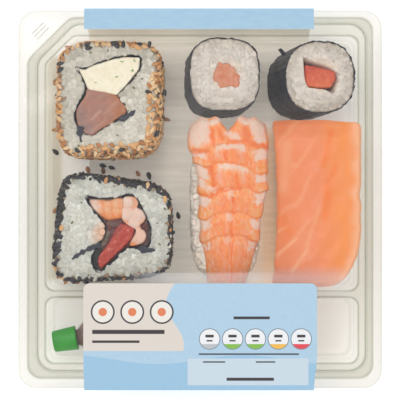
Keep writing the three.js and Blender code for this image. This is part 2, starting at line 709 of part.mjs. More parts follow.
place('sesame_roll_rice', makeRollRice(SESAME_ROLL, SESAME_ROLL_NORI, 11), paint(RICE_PAINT, 0.6));
place('sesame_roll_nori', makeRollNori(SESAME_ROLL, SESAME_ROLL_NORI), paint(NORI_PAINT, 0.5));
place('sesame_roll_cream_cheese', makeFilling(CREAM_CHEESE, SESAME_ROLL.height), paint(0xf7eed7, 0.6));
place('sesame_roll_salmon', makeFilling(ROLL_SALMON, SESAME_ROLL.height), paint(0xb27c69, 0.5));

const blackRice = makeRollRice(BLACK_SESAME_ROLL, BLACK_SESAME_ROLL_NORI, 23);
const blackNori = makeRollNori(BLACK_SESAME_ROLL, BLACK_SESAME_ROLL_NORI);
const { height: blackHeight } = BLACK_SESAME_ROLL;
place('black_sesame_roll_rice', blackRice, paint(RICE_PAINT, 0.6));
place('black_sesame_roll_nori', blackNori, paint(NORI_PAINT, 0.5));
place('black_sesame_roll_pepper', makeFilling(PEPPER_STRIP, blackHeight), paint(0xb44c44, 0.35));
place('black_sesame_roll_prawn_left', makeFilling(LEFT_PRAWN, blackHeight), paint(0xe8a073, 0.5));
place('black_sesame_roll_prawn_right', makeFilling(RIGHT_PRAWN, blackHeight), paint(0xe4beaa, 0.5));

place('salmon_maki_nori', makeMakiNori(SALMON_MAKI), paint(NORI_PAINT, 0.5));
place('salmon_maki_rice', makeMakiRice(SALMON_MAKI, MAKI_SALMON, 37), paint(0xd6cfc3, 0.6));
place('salmon_maki_salmon', makeMakiCore(SALMON_MAKI, MAKI_SALMON), paint(0xd98a6e, 0.5));

place('pepper_maki_nori', makeMakiNori(PEPPER_MAKI), paint(NORI_PAINT, 0.5));
place('pepper_maki_rice', makeMakiRice(PEPPER_MAKI, MAKI_PEPPER, 41), paint(0xdad0c8, 0.6));
place('pepper_maki_pepper', makeMakiCore(PEPPER_MAKI, MAKI_PEPPER), paint(0xd8684c, 0.35));

const prawnRice = makeNigiriRice(PRAWN_RICE, prawnPlace, PRAWN_GRID, 53);
const salmonRice = makeNigiriRice(SALMON_RICE, salmonPlace, SALMON_GRID, 59);
place('prawn_nigiri_rice', prawnRice, paint(RICE_PAINT, 0.6));
place('prawn_nigiri_prawn', slab(prawnPlace, PRAWN_GRID), paint(0xfa9b69, 0.4));
place('salmon_nigiri_rice', salmonRice, paint(RICE_PAINT, 0.6));
place('salmon_nigiri_salmon', slab(salmonPlace, SALMON_GRID), paint(0xf19465, 0.35));

place('soy_bottle', makeBottle(), paint(0xe8e4e0, 0.2, 0.4));
place('soy_sauce', makeSauce(), paint(0x735555, 0.2));
place('soy_cap', makeCap(), paint(0x48a548, 0.35));

export default pack;
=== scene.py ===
import json
import math

import bmesh
import bpy
import numpy as np
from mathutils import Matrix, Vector, noise
from mathutils.geometry import delaunay_2d_cdt

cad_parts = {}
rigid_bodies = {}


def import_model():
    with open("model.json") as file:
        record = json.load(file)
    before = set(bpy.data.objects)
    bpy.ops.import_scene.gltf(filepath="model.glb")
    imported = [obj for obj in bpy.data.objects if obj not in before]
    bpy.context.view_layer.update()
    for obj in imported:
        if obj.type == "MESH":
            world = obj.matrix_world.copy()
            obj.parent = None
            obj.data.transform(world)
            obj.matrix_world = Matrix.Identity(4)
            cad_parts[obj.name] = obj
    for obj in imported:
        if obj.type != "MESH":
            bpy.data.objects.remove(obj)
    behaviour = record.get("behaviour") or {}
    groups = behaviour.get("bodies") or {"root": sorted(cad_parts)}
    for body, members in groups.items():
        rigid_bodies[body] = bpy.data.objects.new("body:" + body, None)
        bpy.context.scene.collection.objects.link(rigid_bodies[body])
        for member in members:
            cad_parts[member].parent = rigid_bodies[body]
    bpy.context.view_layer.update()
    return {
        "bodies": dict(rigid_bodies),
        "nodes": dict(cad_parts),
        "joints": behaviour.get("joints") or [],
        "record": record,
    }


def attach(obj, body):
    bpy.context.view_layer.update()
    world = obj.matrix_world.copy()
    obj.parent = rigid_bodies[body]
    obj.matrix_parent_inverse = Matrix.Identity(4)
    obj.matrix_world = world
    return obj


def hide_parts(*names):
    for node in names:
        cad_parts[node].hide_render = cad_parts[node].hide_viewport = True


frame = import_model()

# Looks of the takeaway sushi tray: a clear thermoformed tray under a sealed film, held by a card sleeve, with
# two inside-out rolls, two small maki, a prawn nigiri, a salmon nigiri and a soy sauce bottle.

# ---- Driving dimensions, in millimetres ----------------------------------------------------------

METRES = 0.001
TURN = 2 * math.pi

GAP = 0.3
CARD = 0.4
PAINTED_CARD_GLOW = dict(floor=0.19, back=0.5)  # painted glow: the card's unprinted side emits light, more towards the back, to lift the shade on it
PAINTED_FOOD_GLOW = [  # painted glow that lifts the shade on the card beside the food, warm as a painted reflection of the salmon: left, right, front, back, edge, strength, warm_reflection
    (-14.0, 28.0, -34.0, 36.0, 3.0, 0.10, 0.0),
    (18.0, 28.0, -34.0, 28.0, 2.5, 0.15, 1.0),
]
# the painted glow's colour, and its warm colour where it paints the salmon's reflected light
PAINTED_GLOW_COLOUR = (0.95, 0.91, 0.84, 1.0)
WARM_PAINTED_REFLECTION = (0.98, 0.735, 0.587, 1.0)
FLOOR = 1.3  # inside floor of both wells
FOOD_BASE = 1.6
SHELF = 23.0
FLANGE = 29.0
FILM_BASE = FLANGE + GAP
SLEEVE_TOP = 30.2

FLANGE_BOX = dict(left=-65.5, right=65.5, front=-68.0, back=68.0, radius=6.7, chamfer=0.0)
STEP_TOP_BOX = dict(left=-61.7, right=61.7, front=-64.0, back=65.0, radius=5.0, chamfer=15.0)
STEP_FOOT_BOX = dict(left=-59.3, right=60.3, front=-62.5, back=63.9, radius=6.0, chamfer=13.6)
MAIN_BOX = dict(left=-56.0, right=57.2, front=-33.0, back=59.2, radius=3.4, chamfer=10.0)
FRONT_BOX = dict(left=-56.0, right=57.2, front=-59.4, back=-35.9, radius=3.4, chamfer=0.0)
WALL_DRAFT = 0.6
WALL_BEAD = dict(height=12.0, inset=0.3)  # small ledge half way down the wells' walls
FLOOR_RADIUS = 1.6
CORNER_POINTS = 12
SHEET = 0.5  # the tray's plastic as it looks

SLEEVE_CENTRE = -0.4
SLEEVE_WIDTH = 82.6
SLEEVE_REACH = 68.9
SLEEVE_FOOT = 61.5
STRIP_EDGE = 61.2
LABEL_EDGE = -30.2
LABEL_WIDTH = 84.0
LABEL_FLARE = 12.5
LABEL_RADIUS = 2.3
FOLD_RADIUS = 1.1

NORI = 0.24

SESAME_ROLL = dict(
    centre=(-32.9, 36.2),
    corners=((19.4, 21.3), (-19.3, 21.2), (-19.3, -21.2), (18.6, -20.6)),
    chamfer=26.2, power=4.6, height=19.6,
)
SESAME_ROLL_NORI = [
    (-45.3, 48.2), (-42.6, 47.9), (-39.4, 49.1), (-36.4, 50.1), (-31.0, 51.8), (-23.6, 52.6), (-21.2, 51.2),
    (-22.0, 47.2), (-25.6, 42.3), (-29.6, 37.9), (-27.4, 34.6), (-26.2, 32.2), (-27.6, 29.9), (-31.2, 28.0),
    (-35.6, 25.6), (-39.6, 23.0), (-42.6, 24.2), (-45.0, 26.9), (-46.0, 31.4), (-43.9, 36.0), (-42.0, 40.2),
    (-43.4, 44.4),
]
SESAME_ROLL_TAILS = [((-43.5, 26.6), (-43.2, 20.8), 1.8), ((-29.6, 29.1), (-23.6, 32.4), 1.6)]
SESAME_ROLL_DIPS = [(-28.2, 35.8, 3.6), (-33.4, 27.0, 2.6), (-43.2, 45.0, 1.4)]  # rice lies over the seaweed
BLACK_ROLL_DIPS = [(-36.2, -13.4, 3.4)]
CREAM_CHEESE = [
    (-44.6, 47.9), (-42.0, 47.3), (-39.5, 48.8), (-31.0, 51.4), (-26.7, 52.0), (-21.9, 51.8), (-22.2, 47.6),
    (-26.1, 42.6), (-30.3, 37.9), (-34.3, 38.7), (-37.6, 39.4), (-41.2, 40.2), (-42.2, 43.2),
]
ROLL_SALMON = [
    (-41.4, 40.8), (-37.6, 40.0), (-34.3, 39.3), (-30.2, 38.0), (-28.2, 35.0), (-26.4, 32.7), (-27.8, 30.3),
    (-31.6, 28.7), (-32.3, 27.0), (-35.6, 26.0), (-37.2, 24.3), (-39.8, 23.0), (-42.4, 24.1), (-44.8, 26.7),
    (-45.5, 32.0), (-43.6, 35.5), (-42.0, 37.4),
]

BLACK_SESAME_ROLL = dict(
    centre=(-31.2, -11.0),
    corners=((20.3, 15.9), (-19.8, 21.6), (-23.3, -19.6), (20.6, -16.8)),
    chamfer=math.inf, power=5.2, height=19.0,
)
BLACK_SESAME_ROLL_NORI = [
    (-41.6, 1.1), (-38.8, 0.9), (-34.0, 0.5), (-29.0, 1.1), (-26.7, 1.9), (-23.6, 1.3), (-21.2, -3.0),
    (-18.9, -7.6), (-17.9, -11.2), (-18.6, -17.0), (-21.0, -18.4), (-24.4, -17.9), (-27.6, -18.8),
    (-30.9, -21.9), (-33.5, -24.2), (-37.0, -26.8), (-38.8, -25.4), (-39.7, -20.4), (-38.0, -17.2),
    (-35.4, -12.9), (-35.0, -10.1), (-37.3, -6.3), (-40.1, -2.9),
]
BLACK_SESAME_ROLL_TAILS = [((-36.4, -16.4), (-46.8, -21.9), 1.9), ((-22.4, -17.6), (-16.4, -18.4), 2.0)]
PEPPER_STRIP = [
    (-29.0, -8.5), (-26.4, -9.3), (-23.9, -10.4), (-24.4, -13.8), (-27.5, -17.3), (-31.2, -20.9),
    (-36.0, -25.4), (-37.4, -24.8), (-37.3, -20.8), (-33.6, -16.2), (-31.2, -11.2),
]
LEFT_PRAWN = [
    (-40.6, -0.2), (-38.9, 0.2), (-34.0, 0.0), (-28.2, 0.5), (-27.9, -2.7), (-28.2, -6.5), (-31.2, -7.4),
    (-34.0, -7.6), (-37.2, -5.6), (-39.7, -2.9),
]
RIGHT_PRAWN = [
    (-28.3, -2.1), (-28.1, 0.5), (-26.1, 1.2), (-23.6, 0.6), (-22.6, -1.3), (-23.0, -3.0), (-21.0, -4.0),
    (-19.7, -6.0), (-20.6, -8.2), (-21.9, -9.4), (-21.7, -10.6), (-20.2, -11.8), (-19.7, -13.8),
    (-20.8, -15.8), (-22.6, -16.6), (-24.4, -17.0), (-25.6, -16.9), (-25.3, -15.4), (-24.1, -13.2),
    (-23.5, -11.2), (-25.2, -10.2), (-27.2, -8.8), (-28.6, -7.0), (-28.7, -5.0),
]

SALMON_MAKI = dict(
    centre=(9.1, 45.4),
    corners=((12.7, 13.1), (-13.3, 13.8), (-12.9, -13.3), (12.7, -13.3)),
    chamfer=math.inf, power=2.95, height=20.0, lean=(2.1, 1.6), slope=(0.03, 0.05),
)
PEPPER_MAKI = dict(
    centre=(43.8, 44.6),
    corners=((12.9, 13.4), (-12.8, 13.2), (-13.0, -13.2), (12.9, -13.2)),
    chamfer=math.inf, power=2.4, height=19.4, lean=(5.8, 1.6), slope=(-0.16, -0.05),
)

PRAWN_RICE = dict(centre=(9.2, -3.2), half=(13.2, 25.6), power=3.8, height=19.6, edge=6.0)
PRAWN = dict(
    head=30.3, tail=-32.2,
    middle=(10.2, 10.2, 11.4, 11.8, 11.1, 10.8, 10.3, 9.8),
    half_width=(14.1, 15.0, 13.5, 12.8, 11.7, 10.9, 8.8, 6.8),
    crown=(21.4, 23.4, 23.8, 23.8, 23.6, 23.0, 21.4, 18.6),
    segments=(20.1, 12.1, 3.4, -5.7, -14.1),
    notch_depth=5.4, notch_half_width=3.4, sag=4.6, sag_power=2.4, thickness=4.2, rim=2.2,
)
SALMON_RICE = dict(centre=(41.6, -1.6), half=(12.6, 25.4), power=3.0, height=19.4, edge=6.0)
SALMON = dict(
    back=28.9, front=-31.9, left=26.3, right=58.7,
    profile=(18.8, 22.4, 24.2, 25.0, 25.6, 26.5),
    end_drop=2.6, end_share=0.12, thickness=4.4, rim=2.5, corner_radius=12.0, ripple=0.25,
)

BOTTLE = dict(mouth=(-54.7, -53.0), turn=10.0, axis_height=FOOD_BASE + 6.6, flatness=0.82, wall=0.6)
BOTTLE_PROFILE = [
    (3.0, 6.4), (3.0, 9.4), (5.2, 11.2), (7.0, 15.4), (8.0, 22.0), (8.0, 30.0), (6.6, 38.0), (4.2, 44.0),
    (2.0, 47.0),
]
BOTTLE_END = 48.0
AXIS = 0.02  # the radius at the tips of a turned piece
CAP = dict(length=9.0, mouth_radius=3.9, rim_radius=4.5, ribs=28)

GRAIN = dict(length=5.2, width=2.5)
CORE_DEPTH = 0.3  # how far the pressed rice lies under the cut face
CUT_TILT = 0.7  # how much the grains at a cut face lean out of it
SEED = dict(length=3.0, width=1.75, thickness=0.95)

# ---- Colours ------------------------------------------------------------------------------------

HAZE = 0.045  # white light that the film adds over the food
LIGHT = 1.08  # how bright a white surface is under the film
OPEN_LIGHT = 1.25  # how bright a white surface is in the open
DARKEST, PALEST = 0.004, 0.95


def linear(level):
    """The light of a screen level from 0 to 255."""
    return ((level / 255 + 0.055) / 1.055) ** 2.4


def seen(*levels):
    """The colour of a surface that looks like this, in 0 to 255, when it lies under the film."""
    return (*[min(max((linear(level) - HAZE) / LIGHT, DARKEST), PALEST) for level in levels], 1.0)


def bare(*levels):
    """The colour of a surface that looks like this, in 0 to 255, when it lies in the open."""
    return (*[linear(level) / OPEN_LIGHT for level in levels], 1.0)


# ---- Outlines -----------------------------------------------------------------------------------


def arc(centre, radius, start, end, count):
    angles = np.linspace(start, end, count)
    return np.column_stack([centre[0] + radius * np.cos(angles), centre[1] + radius * np.sin(angles)])


def tray_outline(box, inset):
    """A tray outline moved inwards: a rectangle with round corners and perhaps a cut back left one."""
    x0, x1 = box["left"] + inset, box["right"] - inset
    y0, y1 = box["front"] + inset, box["back"] - inset
    r = box["radius"]
    quarter = math.pi / 2
    half = CORNER_POINTS // 2
    reach = r * math.tan(quarter / 4)
    cut = box["chamfer"] - inset * (2 - math.sqrt(2))
    if box["chamfer"]:
        back_left = np.vstack([
            arc((x0 + cut + reach, y1 - r), r, quarter, 1.5 * quarter, half),
            arc((x0 + r, y1 - cut - reach), r, 1.5 * quarter, 2 * quarter, half),
        ])
    else:
        back_left = arc((x0 + r, y1 - r), r, quarter, 2 * quarter, CORNER_POINTS)
    return np.vstack([
        arc((x1 - r, y1 - r), r, 0, quarter, CORNER_POINTS),
        back_left,
        arc((x0 + r, y0 + r), r, 2 * quarter, 3 * quarter, CORNER_POINTS),
        arc((x1 - r, y0 + r), r, 3 * quarter, 4 * quarter, CORNER_POINTS),
    ])


def even(points, count, closed=True):
    """Points spaced evenly along a line of points."""
    line = np.vstack([points, points[:1]]) if closed else np.asarray(points)
    steps = np.concatenate([[0], np.cumsum(np.linalg.norm(np.diff(line, axis=0), axis=1))])
    marks = np.linspace(0, steps[-1], count, endpoint=not closed)
    return np.column_stack([np.interp(marks, steps, line[:, i]) for i in range(line.shape[1])])


def smooth_loop(points, count):
    """A closed smooth curve through a few points, sampled evenly and anticlockwise."""
    p = np.asarray(points, float)
    n = len(p)
    fine = []
    for i in range(n):
        p0, p1, p2, p3 = p[i - 1], p[i], p[(i + 1) % n], p[(i + 2) % n]
        d1, d2, d3 = (max(np.linalg.norm(b - a), 1e-6) ** 0.5 for a, b in ((p0, p1), (p1, p2), (p2, p3)))
        m1 = (p1 - p0) / d1 - (p2 - p0) / (d1 + d2) + (p2 - p1) / d2
        m2 = (p2 - p1) / d2 - (p3 - p1) / (d2 + d3) + (p3 - p2) / d3
        m1, m2 = m1 * d2, m2 * d2
        for t in np.linspace(0, 1, 24, endpoint=False):
            fine.append(
                (2 * t**3 - 3 * t**2 + 1) * p1 + (t**3 - 2 * t**2 + t) * m1
                + (3 * t**2 - 2 * t**3) * p2 + (t**3 - t**2) * m2
            )
    return anticlockwise(even(np.array(fine), count))


def anticlockwise(loop):
    area = np.sum(loop[:, 0] * np.roll(loop[:, 1], -1) - np.roll(loop[:, 0], -1) * loop[:, 1])
    return loop if area > 0 else loop[::-1]


def circle(count):
    """The angles of evenly spaced places round a circle."""
    return np.linspace(0, TURN, count, endpoint=False)


def side_normals(line, closed=True):
    """Unit normals to the right of a line of points: outwards on an anticlockwise loop."""
    if closed:
        along = np.roll(line, -1, axis=0) - np.roll(line, 1, axis=0)
    else:
        along = np.gradient(line, axis=0)
    along /= np.maximum(np.linalg.norm(along, axis=1, keepdims=True), 1e-9)
    return np.column_stack([along[:, 1], -along[:, 0]])


def offset_loop(loop, distance):
    return loop + side_normals(loop) * distance


def inside(points, loop):
    """Which points lie inside a closed loop."""
    x, y = points[:, 0, None], points[:, 1, None]
    x0, y0 = loop[:, 0], loop[:, 1]
    x1, y1 = np.roll(x0, -1), np.roll(y0, -1)
    spans = (y0 > y) != (y1 > y)
    with np.errstate(divide="ignore", invalid="ignore"):
        crossing = (x1 - x0) * (y - y0) / (y1 - y0) + x0
    return np.sum(spans & (x < crossing), axis=1) % 2 == 1


def ragged(loop, size, amount, seed):
    """A loop with notches of about this size and up to this depth cut into it."""
    wave = rough(at_height(loop, seed), size) + 0.5 * rough(at_height(loop, seed), 0.45 * size)
    return loop - side_normals(loop) * (amount * np.abs(wave))[:, None]


def nearest_on(points, loop):
    """The place on a closed loop's line that is nearest to each point."""
    a, b = loop, np.roll(loop, -1, axis=0)
    ab = b - a
    t = np.einsum("pij,ij->pi", points[:, None, :] - a, ab) / np.maximum(np.sum(ab * ab, axis=1), 1e-12)
    near = a + np.clip(t, 0, 1)[..., None] * ab
    best = np.argmin(np.sum((points[:, None, :] - near) ** 2, axis=2), axis=1)
    return near[np.arange(len(points)), best]


def edge_distance(points, loop):
    """Distance from each point to a closed loop's line."""
    return np.linalg.norm(points - nearest_on(points, loop), axis=1) if len(points) else np.empty(0)


def kept(points, loop, within):
    """Points moved onto a loop wherever they aren't on the right side of it: within it, or outside it."""
    moved = points.copy()
    astray = inside(points[:, :2], loop) != within
    if astray.any():
        moved[astray, :2] = nearest_on(points[astray, :2], loop)
    return moved


def smooth_step(low, high, value):
    t = np.clip((np.asarray(value, float) - low) / (high - low), 0, 1)
    return t * t * (3 - 2 * t)


def spline(stations, t):
    """Values read from evenly spaced stations, smoothly from one to the next."""
    values = np.asarray(stations, float)
    last = len(values) - 1
    at = np.clip(t, 0, 1) * last
    i = np.minimum(at.astype(int), last - 1)
    w = at - i
    p0, p1, p2, p3 = (values[np.clip(i + step, 0, last)] for step in (-1, 0, 1, 2))
    cubic = (3 * p1 - p0 - 3 * p2 + p3) * w**3
    return 0.5 * (2 * p1 + (p2 - p0) * w + (2 * p0 - 5 * p1 + 4 * p2 - p3) * w**2 + cubic)


def rough(points, size, seed=0.0, stretch=(1.0, 1.0, 1.0)):
    """Smooth noise from -1 to 1 with bumps of about this size."""
    scaled = np.asarray(points, float) / size / np.asarray(stretch) + seed
    return np.array([noise.noise(Vector(p)) for p in scaled])


def streak(points, marks, edge=4):
    """How strongly a few drawn streaks, each a line with a width and a strength, touch each point."""
    whole = np.zeros(len(points))
    for start, end, width, strength in marks:
        a, b = np.array(start), np.array(end)
        t = np.clip(((points[:, :2] - a) @ (b - a)) / np.dot(b - a, b - a), 0, 1)
        apart = np.linalg.norm(points[:, :2] - (a + t[:, None] * (b - a)), axis=1)
        whole = np.maximum(whole, strength * np.exp(-((apart / width) ** edge)))
    return whole


# ---- Meshes -------------------------------------------------------------------------------------


def join(parts):
    """Several lots of points and faces as one."""
    points, faces, start = [], [], 0
    for some_points, some_faces in parts:
        points.append(some_points)
        faces.extend([tuple(i + start for i in face) for face in some_faces])
        start += len(some_points)
    return np.vstack(points), faces


def lofted(rings, closed=True):
    """Quads between rings that have the same number of points."""
    count = len(rings[0])
    span = count if closed else count - 1
    faces = []
    for k in range(len(rings) - 1):
        a, b = k * count, (k + 1) * count
        for i in range(span):
            j = (i + 1) % count
            faces.append((a + i, a + j, b + j, b + i))
    return np.vstack(rings), faces


def at_height(loop, z):
    return np.column_stack([loop, np.full(len(loop), z)])


def between_loops(points, loops):
    """Which points lie inside the first loop and outside the others."""
    keep = inside(points, loops[0])
    for hole in loops[1:]:
        keep &= ~inside(points, hole)
    return keep


def fill(outer, holes=(), spacing=0.0, z=0.0):
    """A flat sheet of triangles inside a loop and outside its holes."""
    loops = [outer, *holes]
    points, edges, start = list(loops), [], 0
    for loop in loops:
        edges += [(start + i, start + (i + 1) % len(loop)) for i in range(len(loop))]
        start += len(loop)
    if spacing:
        xs, ys = (np.arange(low, high, spacing) for low, high in zip(outer.min(0), outer.max(0)))
        grid = np.array([(x + 0.5 * spacing * (k % 2), y) for k, y in enumerate(ys) for x in xs])
        grid += np.random.default_rng(1).uniform(-0.15, 0.15, grid.shape) * spacing
        grid = grid[between_loops(grid, loops)]
        for loop in loops:
            grid = grid[edge_distance(grid, loop) > 0.45 * spacing]
        points.append(grid)
    flat = [Vector((x, y)) for x, y in np.vstack(points)]
    verts, _, triangles, *_ = delaunay_2d_cdt(flat, edges, [], 0, 1e-7)
    verts, triangles = np.array([tuple(v) for v in verts]), np.array(triangles)
    keep = between_loops(verts[triangles].mean(axis=1), loops)
    return at_height(verts, z), [tuple(face) for face in triangles[keep]]


def closed_slab(upper, lower, columns):
    """A closed shell between an upper and a lower grid of points, with this many points to a row."""
    count = len(upper)
    faces = []
    for start in range(0, count - columns, columns):
        for a in range(start, start + columns - 1):
            quad = (a, a + 1, a + columns + 1, a + columns)
            faces += [quad, tuple(i + count for i in reversed(quad))]
    rim = [*range(columns), *range(2 * columns - 1, count, columns)]
    rim += [*range(count - 2, count - columns - 1, -1), *range(count - 2 * columns, 0, -columns)]
    faces += [(a, a + count, b + count, b) for a, b in zip(rim, rim[1:] + rim[:1])]
    return np.vstack([upper, lower]), faces


def turn_outwards(mesh, weld):
    """Turns a mesh's faces outwards, once the points that are closer than the weld are one."""
    work = bmesh.new()
    work.from_mesh(mesh)
    if weld:
        bmesh.ops.remove_doubles(work, verts=work.verts, dist=weld * METRES)
    bmesh.ops.recalc_face_normals(work, faces=work.faces)
    work.to_mesh(mesh)
    work.free()


def thicken(shape, thickness, offset):
    """Gives a bare sheet this thickness."""
    solid = shape.modifiers.new("sheet", "SOLIDIFY")
    solid.thickness = thickness * METRES
    solid.offset = offset


def piece(name, points, faces, materials, slot, replaces=(), sharp=None, weld=0.002):
    """A mesh given in millimetres that rides on the part's one body."""
    mesh = bpy.data.meshes.new(name)
    mesh.from_pydata((np.asarray(points) * METRES).tolist(), [], faces)
    if weld:
        turn_outwards(mesh, weld)
    for material in materials:
        mesh.materials.append(material)
    mesh.polygons.foreach_set("use_smooth", np.ones(len(mesh.polygons), bool))
    if sharp:
        mesh.set_sharp_from_angle(angle=math.radians(sharp))
    mesh.update()
    shape = bpy.data.objects.new(name, mesh)
    bpy.context.scene.collection.objects.link(shape)
    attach(shape, "root")
    if replaces:
        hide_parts(*replaces)
    return shape


def mark(shape, **marks):
    """Keeps a number from 0 to 1 for each point of a piece, under a name that its material reads."""
    for name, values in marks.items():
        attribute = shape.data.attributes.new(name, "FLOAT", "POINT")
        levels = np.broadcast_to(np.clip(values, 0, 1), len(attribute.data))
        attribute.data.foreach_set("value", levels.astype(np.float32))


def millimetres(shape):
    """The points of a piece, in millimetres."""
    flat = np.empty(3 * len(shape.data.vertices), np.float32)
    shape.data.vertices.foreach_get("co", flat)
    return flat.reshape(-1, 3).astype(float) / METRES


# ---- Materials ----------------------------------------------------------------------------------


class Paint:
    """A material's node tree, with one short call for each kind of node used here."""

    def __init__(self, name):
        self.material = bpy.data.materials.new(name)
        self.material.use_nodes = True
        self.tree = self.material.node_tree
        self.tree.nodes.clear()
        texture = self.add("TexCoord").outputs["Object"]
        self.place = self.add("VectorMath", {0: texture, "Scale": 1 / METRES}, operation="SCALE").outputs[0]

    def add(self, kind, inputs=None, **settings):
        made = self.tree.nodes.new("ShaderNode" + kind)
        for name, value in settings.items():
            setattr(made, name, value)
        for name, value in (inputs or {}).items():
            if isinstance(value, bpy.types.NodeSocket):
                self.tree.links.new(value, made.inputs[name])
            else:
                made.inputs[name].default_value = value
        return made

    def math(self, operation, *values):
        return self.add("Math", dict(enumerate(values)), operation=operation).outputs[0]

    def times(self, *values):
        whole = values[0]
        for value in values[1:]:
            whole = self.math("MULTIPLY", whole, value)
        return whole

    def axis(self, name):
        return self.add("SeparateXYZ", {0: self.place}).outputs[name]

    def noise(self, size, detail=3.0, roughness=0.55, distortion=0.0, stretch=None):
        place = self.place
        if stretch:
            scale = tuple(1 / share for share in stretch)
            place = self.add("VectorMath", {0: place, 1: scale}, operation="MULTIPLY").outputs[0]
        inputs = {"Vector": place, "Scale": 1 / size, "Detail": detail, "Roughness": roughness}
        return self.add("TexNoise", {**inputs, "Distortion": distortion}).outputs["Fac"]

    def cells(self, size):
        return self.add("TexVoronoi", {"Vector": self.place, "Scale": 1 / size}).outputs["Distance"]

    def attribute(self, name):
        return self.add("Attribute", attribute_name=name).outputs["Fac"]

    def span(self, value, low, high, to_low=0.0, to_high=1.0, smooth=True):
        return self.add("MapRange", {
            "Value": value, "From Min": low, "From Max": high, "To Min": to_low, "To Max": to_high,
        }, interpolation_type="SMOOTHSTEP" if smooth else "LINEAR").outputs["Result"]

    def ramp(self, value, stops, steps=False):
        made = self.add("ValToRGB", {"Fac": value})
        made.color_ramp.interpolation = "CONSTANT" if steps else "LINEAR"
        elements = made.color_ramp.elements
        while len(elements) < len(stops):
            elements.new(0.5)
        for element, (position, colour) in zip(elements, stops):
            element.position = position
            element.color = colour
        return made.outputs["Color"]

    def mix(self, share, first, second, **settings):
        return self.add("Mix", {0: share, 6: first, 7: second}, data_type="RGBA", **settings).outputs[2]

    def patch(self, left, right, front, back, edge):
        """A mask that is 1 on this rectangle, seen from above, and fades over its edge."""
        x, y = self.axis("X"), self.axis("Y")
        sides = [(x, left, edge), (x, right, -edge), (y, front, edge), (y, back, -edge)]
        return self.times(*[self.span(value, side - soft, side + soft) for value, side, soft in sides])

    def bump(self, height, distance):
        return self.add("Bump", {"Height": height, "Distance": distance * METRES}).outputs["Normal"]

    def blend(self, share, first, second):
        return self.add("MixShader", {0: share, 1: first, 2: second}).outputs[0]

    def done(self, shader):
        self.add("OutputMaterial", {"Surface": shader})
        return self.material

    def surface(self, **inputs):
        """The finished material, with one plain surface."""
        names = {name.replace("_", " ").title().replace("Ior", "IOR"): inputs[name] for name in inputs}
        return self.done(self.add("BsdfPrincipled", names).outputs["BSDF"])

    def flesh(self, colour, roughness, relief, spread):
        """The finished material: wet flesh that light soaks into, red light the furthest."""
        return self.surface(base_color=colour, roughness=roughness, normal=relief, subsurface_weight=0.10,
                            subsurface_radius=spread, subsurface_scale=0.001, specular_ior_level=0.45)

    def clear(self, tint, milk, milk_colour, shine, gloss, waves):
        """The finished material: a clear sheet with shares of milky haze in it and of gloss on it."""
        through = self.add("BsdfTransparent", {"Color": tint}).outputs[0]
        haze = self.add("BsdfDiffuse", {"Color": milk_colour}).outputs[0]
        glossy = self.add("BsdfGlossy", {"Roughness": gloss, "Normal": waves}).outputs[0]
        return self.done(self.blend(shine, self.blend(milk, through, haze), glossy))


def clear_plastic(p, tint, milk, milk_colour, gloss):
    """Clear plastic of this tint, faintly milky, and glossier where it is seen edge on."""
    steep = p.math("POWER", p.add("LayerWeight", {"Blend": 0.5}).outputs["Facing"], 5.0)
    cloud = p.span(p.noise(14.0, detail=2.0), 0.3, 0.7, 0.8 * milk, 1.2 * milk)
    waves = p.bump(p.noise(9.0, detail=2.0), 0.25)
    return p.clear(tint, cloud, milk_colour, p.span(steep, 0.0, 1.0, 0.012, 0.14), gloss, waves)


# the sheet's tints: clear where it is flat, and darker painted shade where it bends, steps and slopes
CLEAR = (0.955, 0.944, 0.932, 1)
FLAT = (0.905, 0.895, 0.880, 1)
LEDGE = (0.865, 0.852, 0.815, 1)
BENT = (0.62, 0.63, 0.56, 1)
SOFT_BEND = (0.84, 0.83, 0.79, 1)
STEP = (0.80, 0.79, 0.745, 1)
WALL = (0.93, 0.922, 0.90, 1)
TRAY_TINTS_AND_BEND_SHADES = [  # the sheet's tint by height, darkened by painted shade along its bends and steps: flat, bent and sloping parts of its upper and lower side
    (0.0, CLEAR), (1.35, CLEAR), (1.9, SOFT_BEND), (2.6, WALL), (11.7, WALL), (12.0, SOFT_BEND), (12.3, WALL),
    (21.6, WALL), (21.9, BENT), (22.38, BENT), (22.44, LEDGE), (22.56, LEDGE), (22.62, BENT), (22.92, BENT),
    (22.97, LEDGE), (23.03, LEDGE), (23.08, BENT), (23.5, BENT), (23.9, STEP), (27.7, STEP), (28.1, BENT),
    (28.38, BENT), (28.44, FLAT), (28.56, FLAT), (28.62, BENT), (28.92, BENT), (28.97, FLAT), (29.0, FLAT),
]
SHADES = [  # painted shade that the food casts on the sheet beside it, warm beside the salmon as a painted reflection: left, right, front, back, edge, tint
    (-56.4, -52.4, -30.0, 53.0, 1.5, (0.88, 0.86, 0.80, 1)),
    (23.5, 44.0, -33.0, 26.0, 2.5, (1.0, 0.93, 0.85, 1)),
]
PEEL_MARK = dict(length=6.0, width=1.0, centre=(-57.6, 60.6))


def tray_material():
    """The tray's clear sheet, with painted shade along its bends and beside the rolls, warm beside the salmon
    as a painted reflection.
    """
    p = Paint("clear_tray")
    height = p.axis("Z")
    tint = p.ramp(p.math("DIVIDE", height, FLANGE), [(z / FLANGE, colour) for z, colour in TRAY_TINTS_AND_BEND_SHADES])
    low = p.span(height, 22.0, 18.0)
    for *place, colour in SHADES:
        tint = p.mix(p.times(p.patch(*place), low), tint, colour, blend_type="MULTIPLY")
    return clear_plastic(p, tint, milk=0.03, milk_colour=(0.86, 0.85, 0.80, 1), gloss=0.1)


# where the film's painted glare lies, and how strong it is
FILM_GLARE_BAND = dict(start=-26.6, end=-40.0, left=-22.0, right=53.0, milk=0.12)


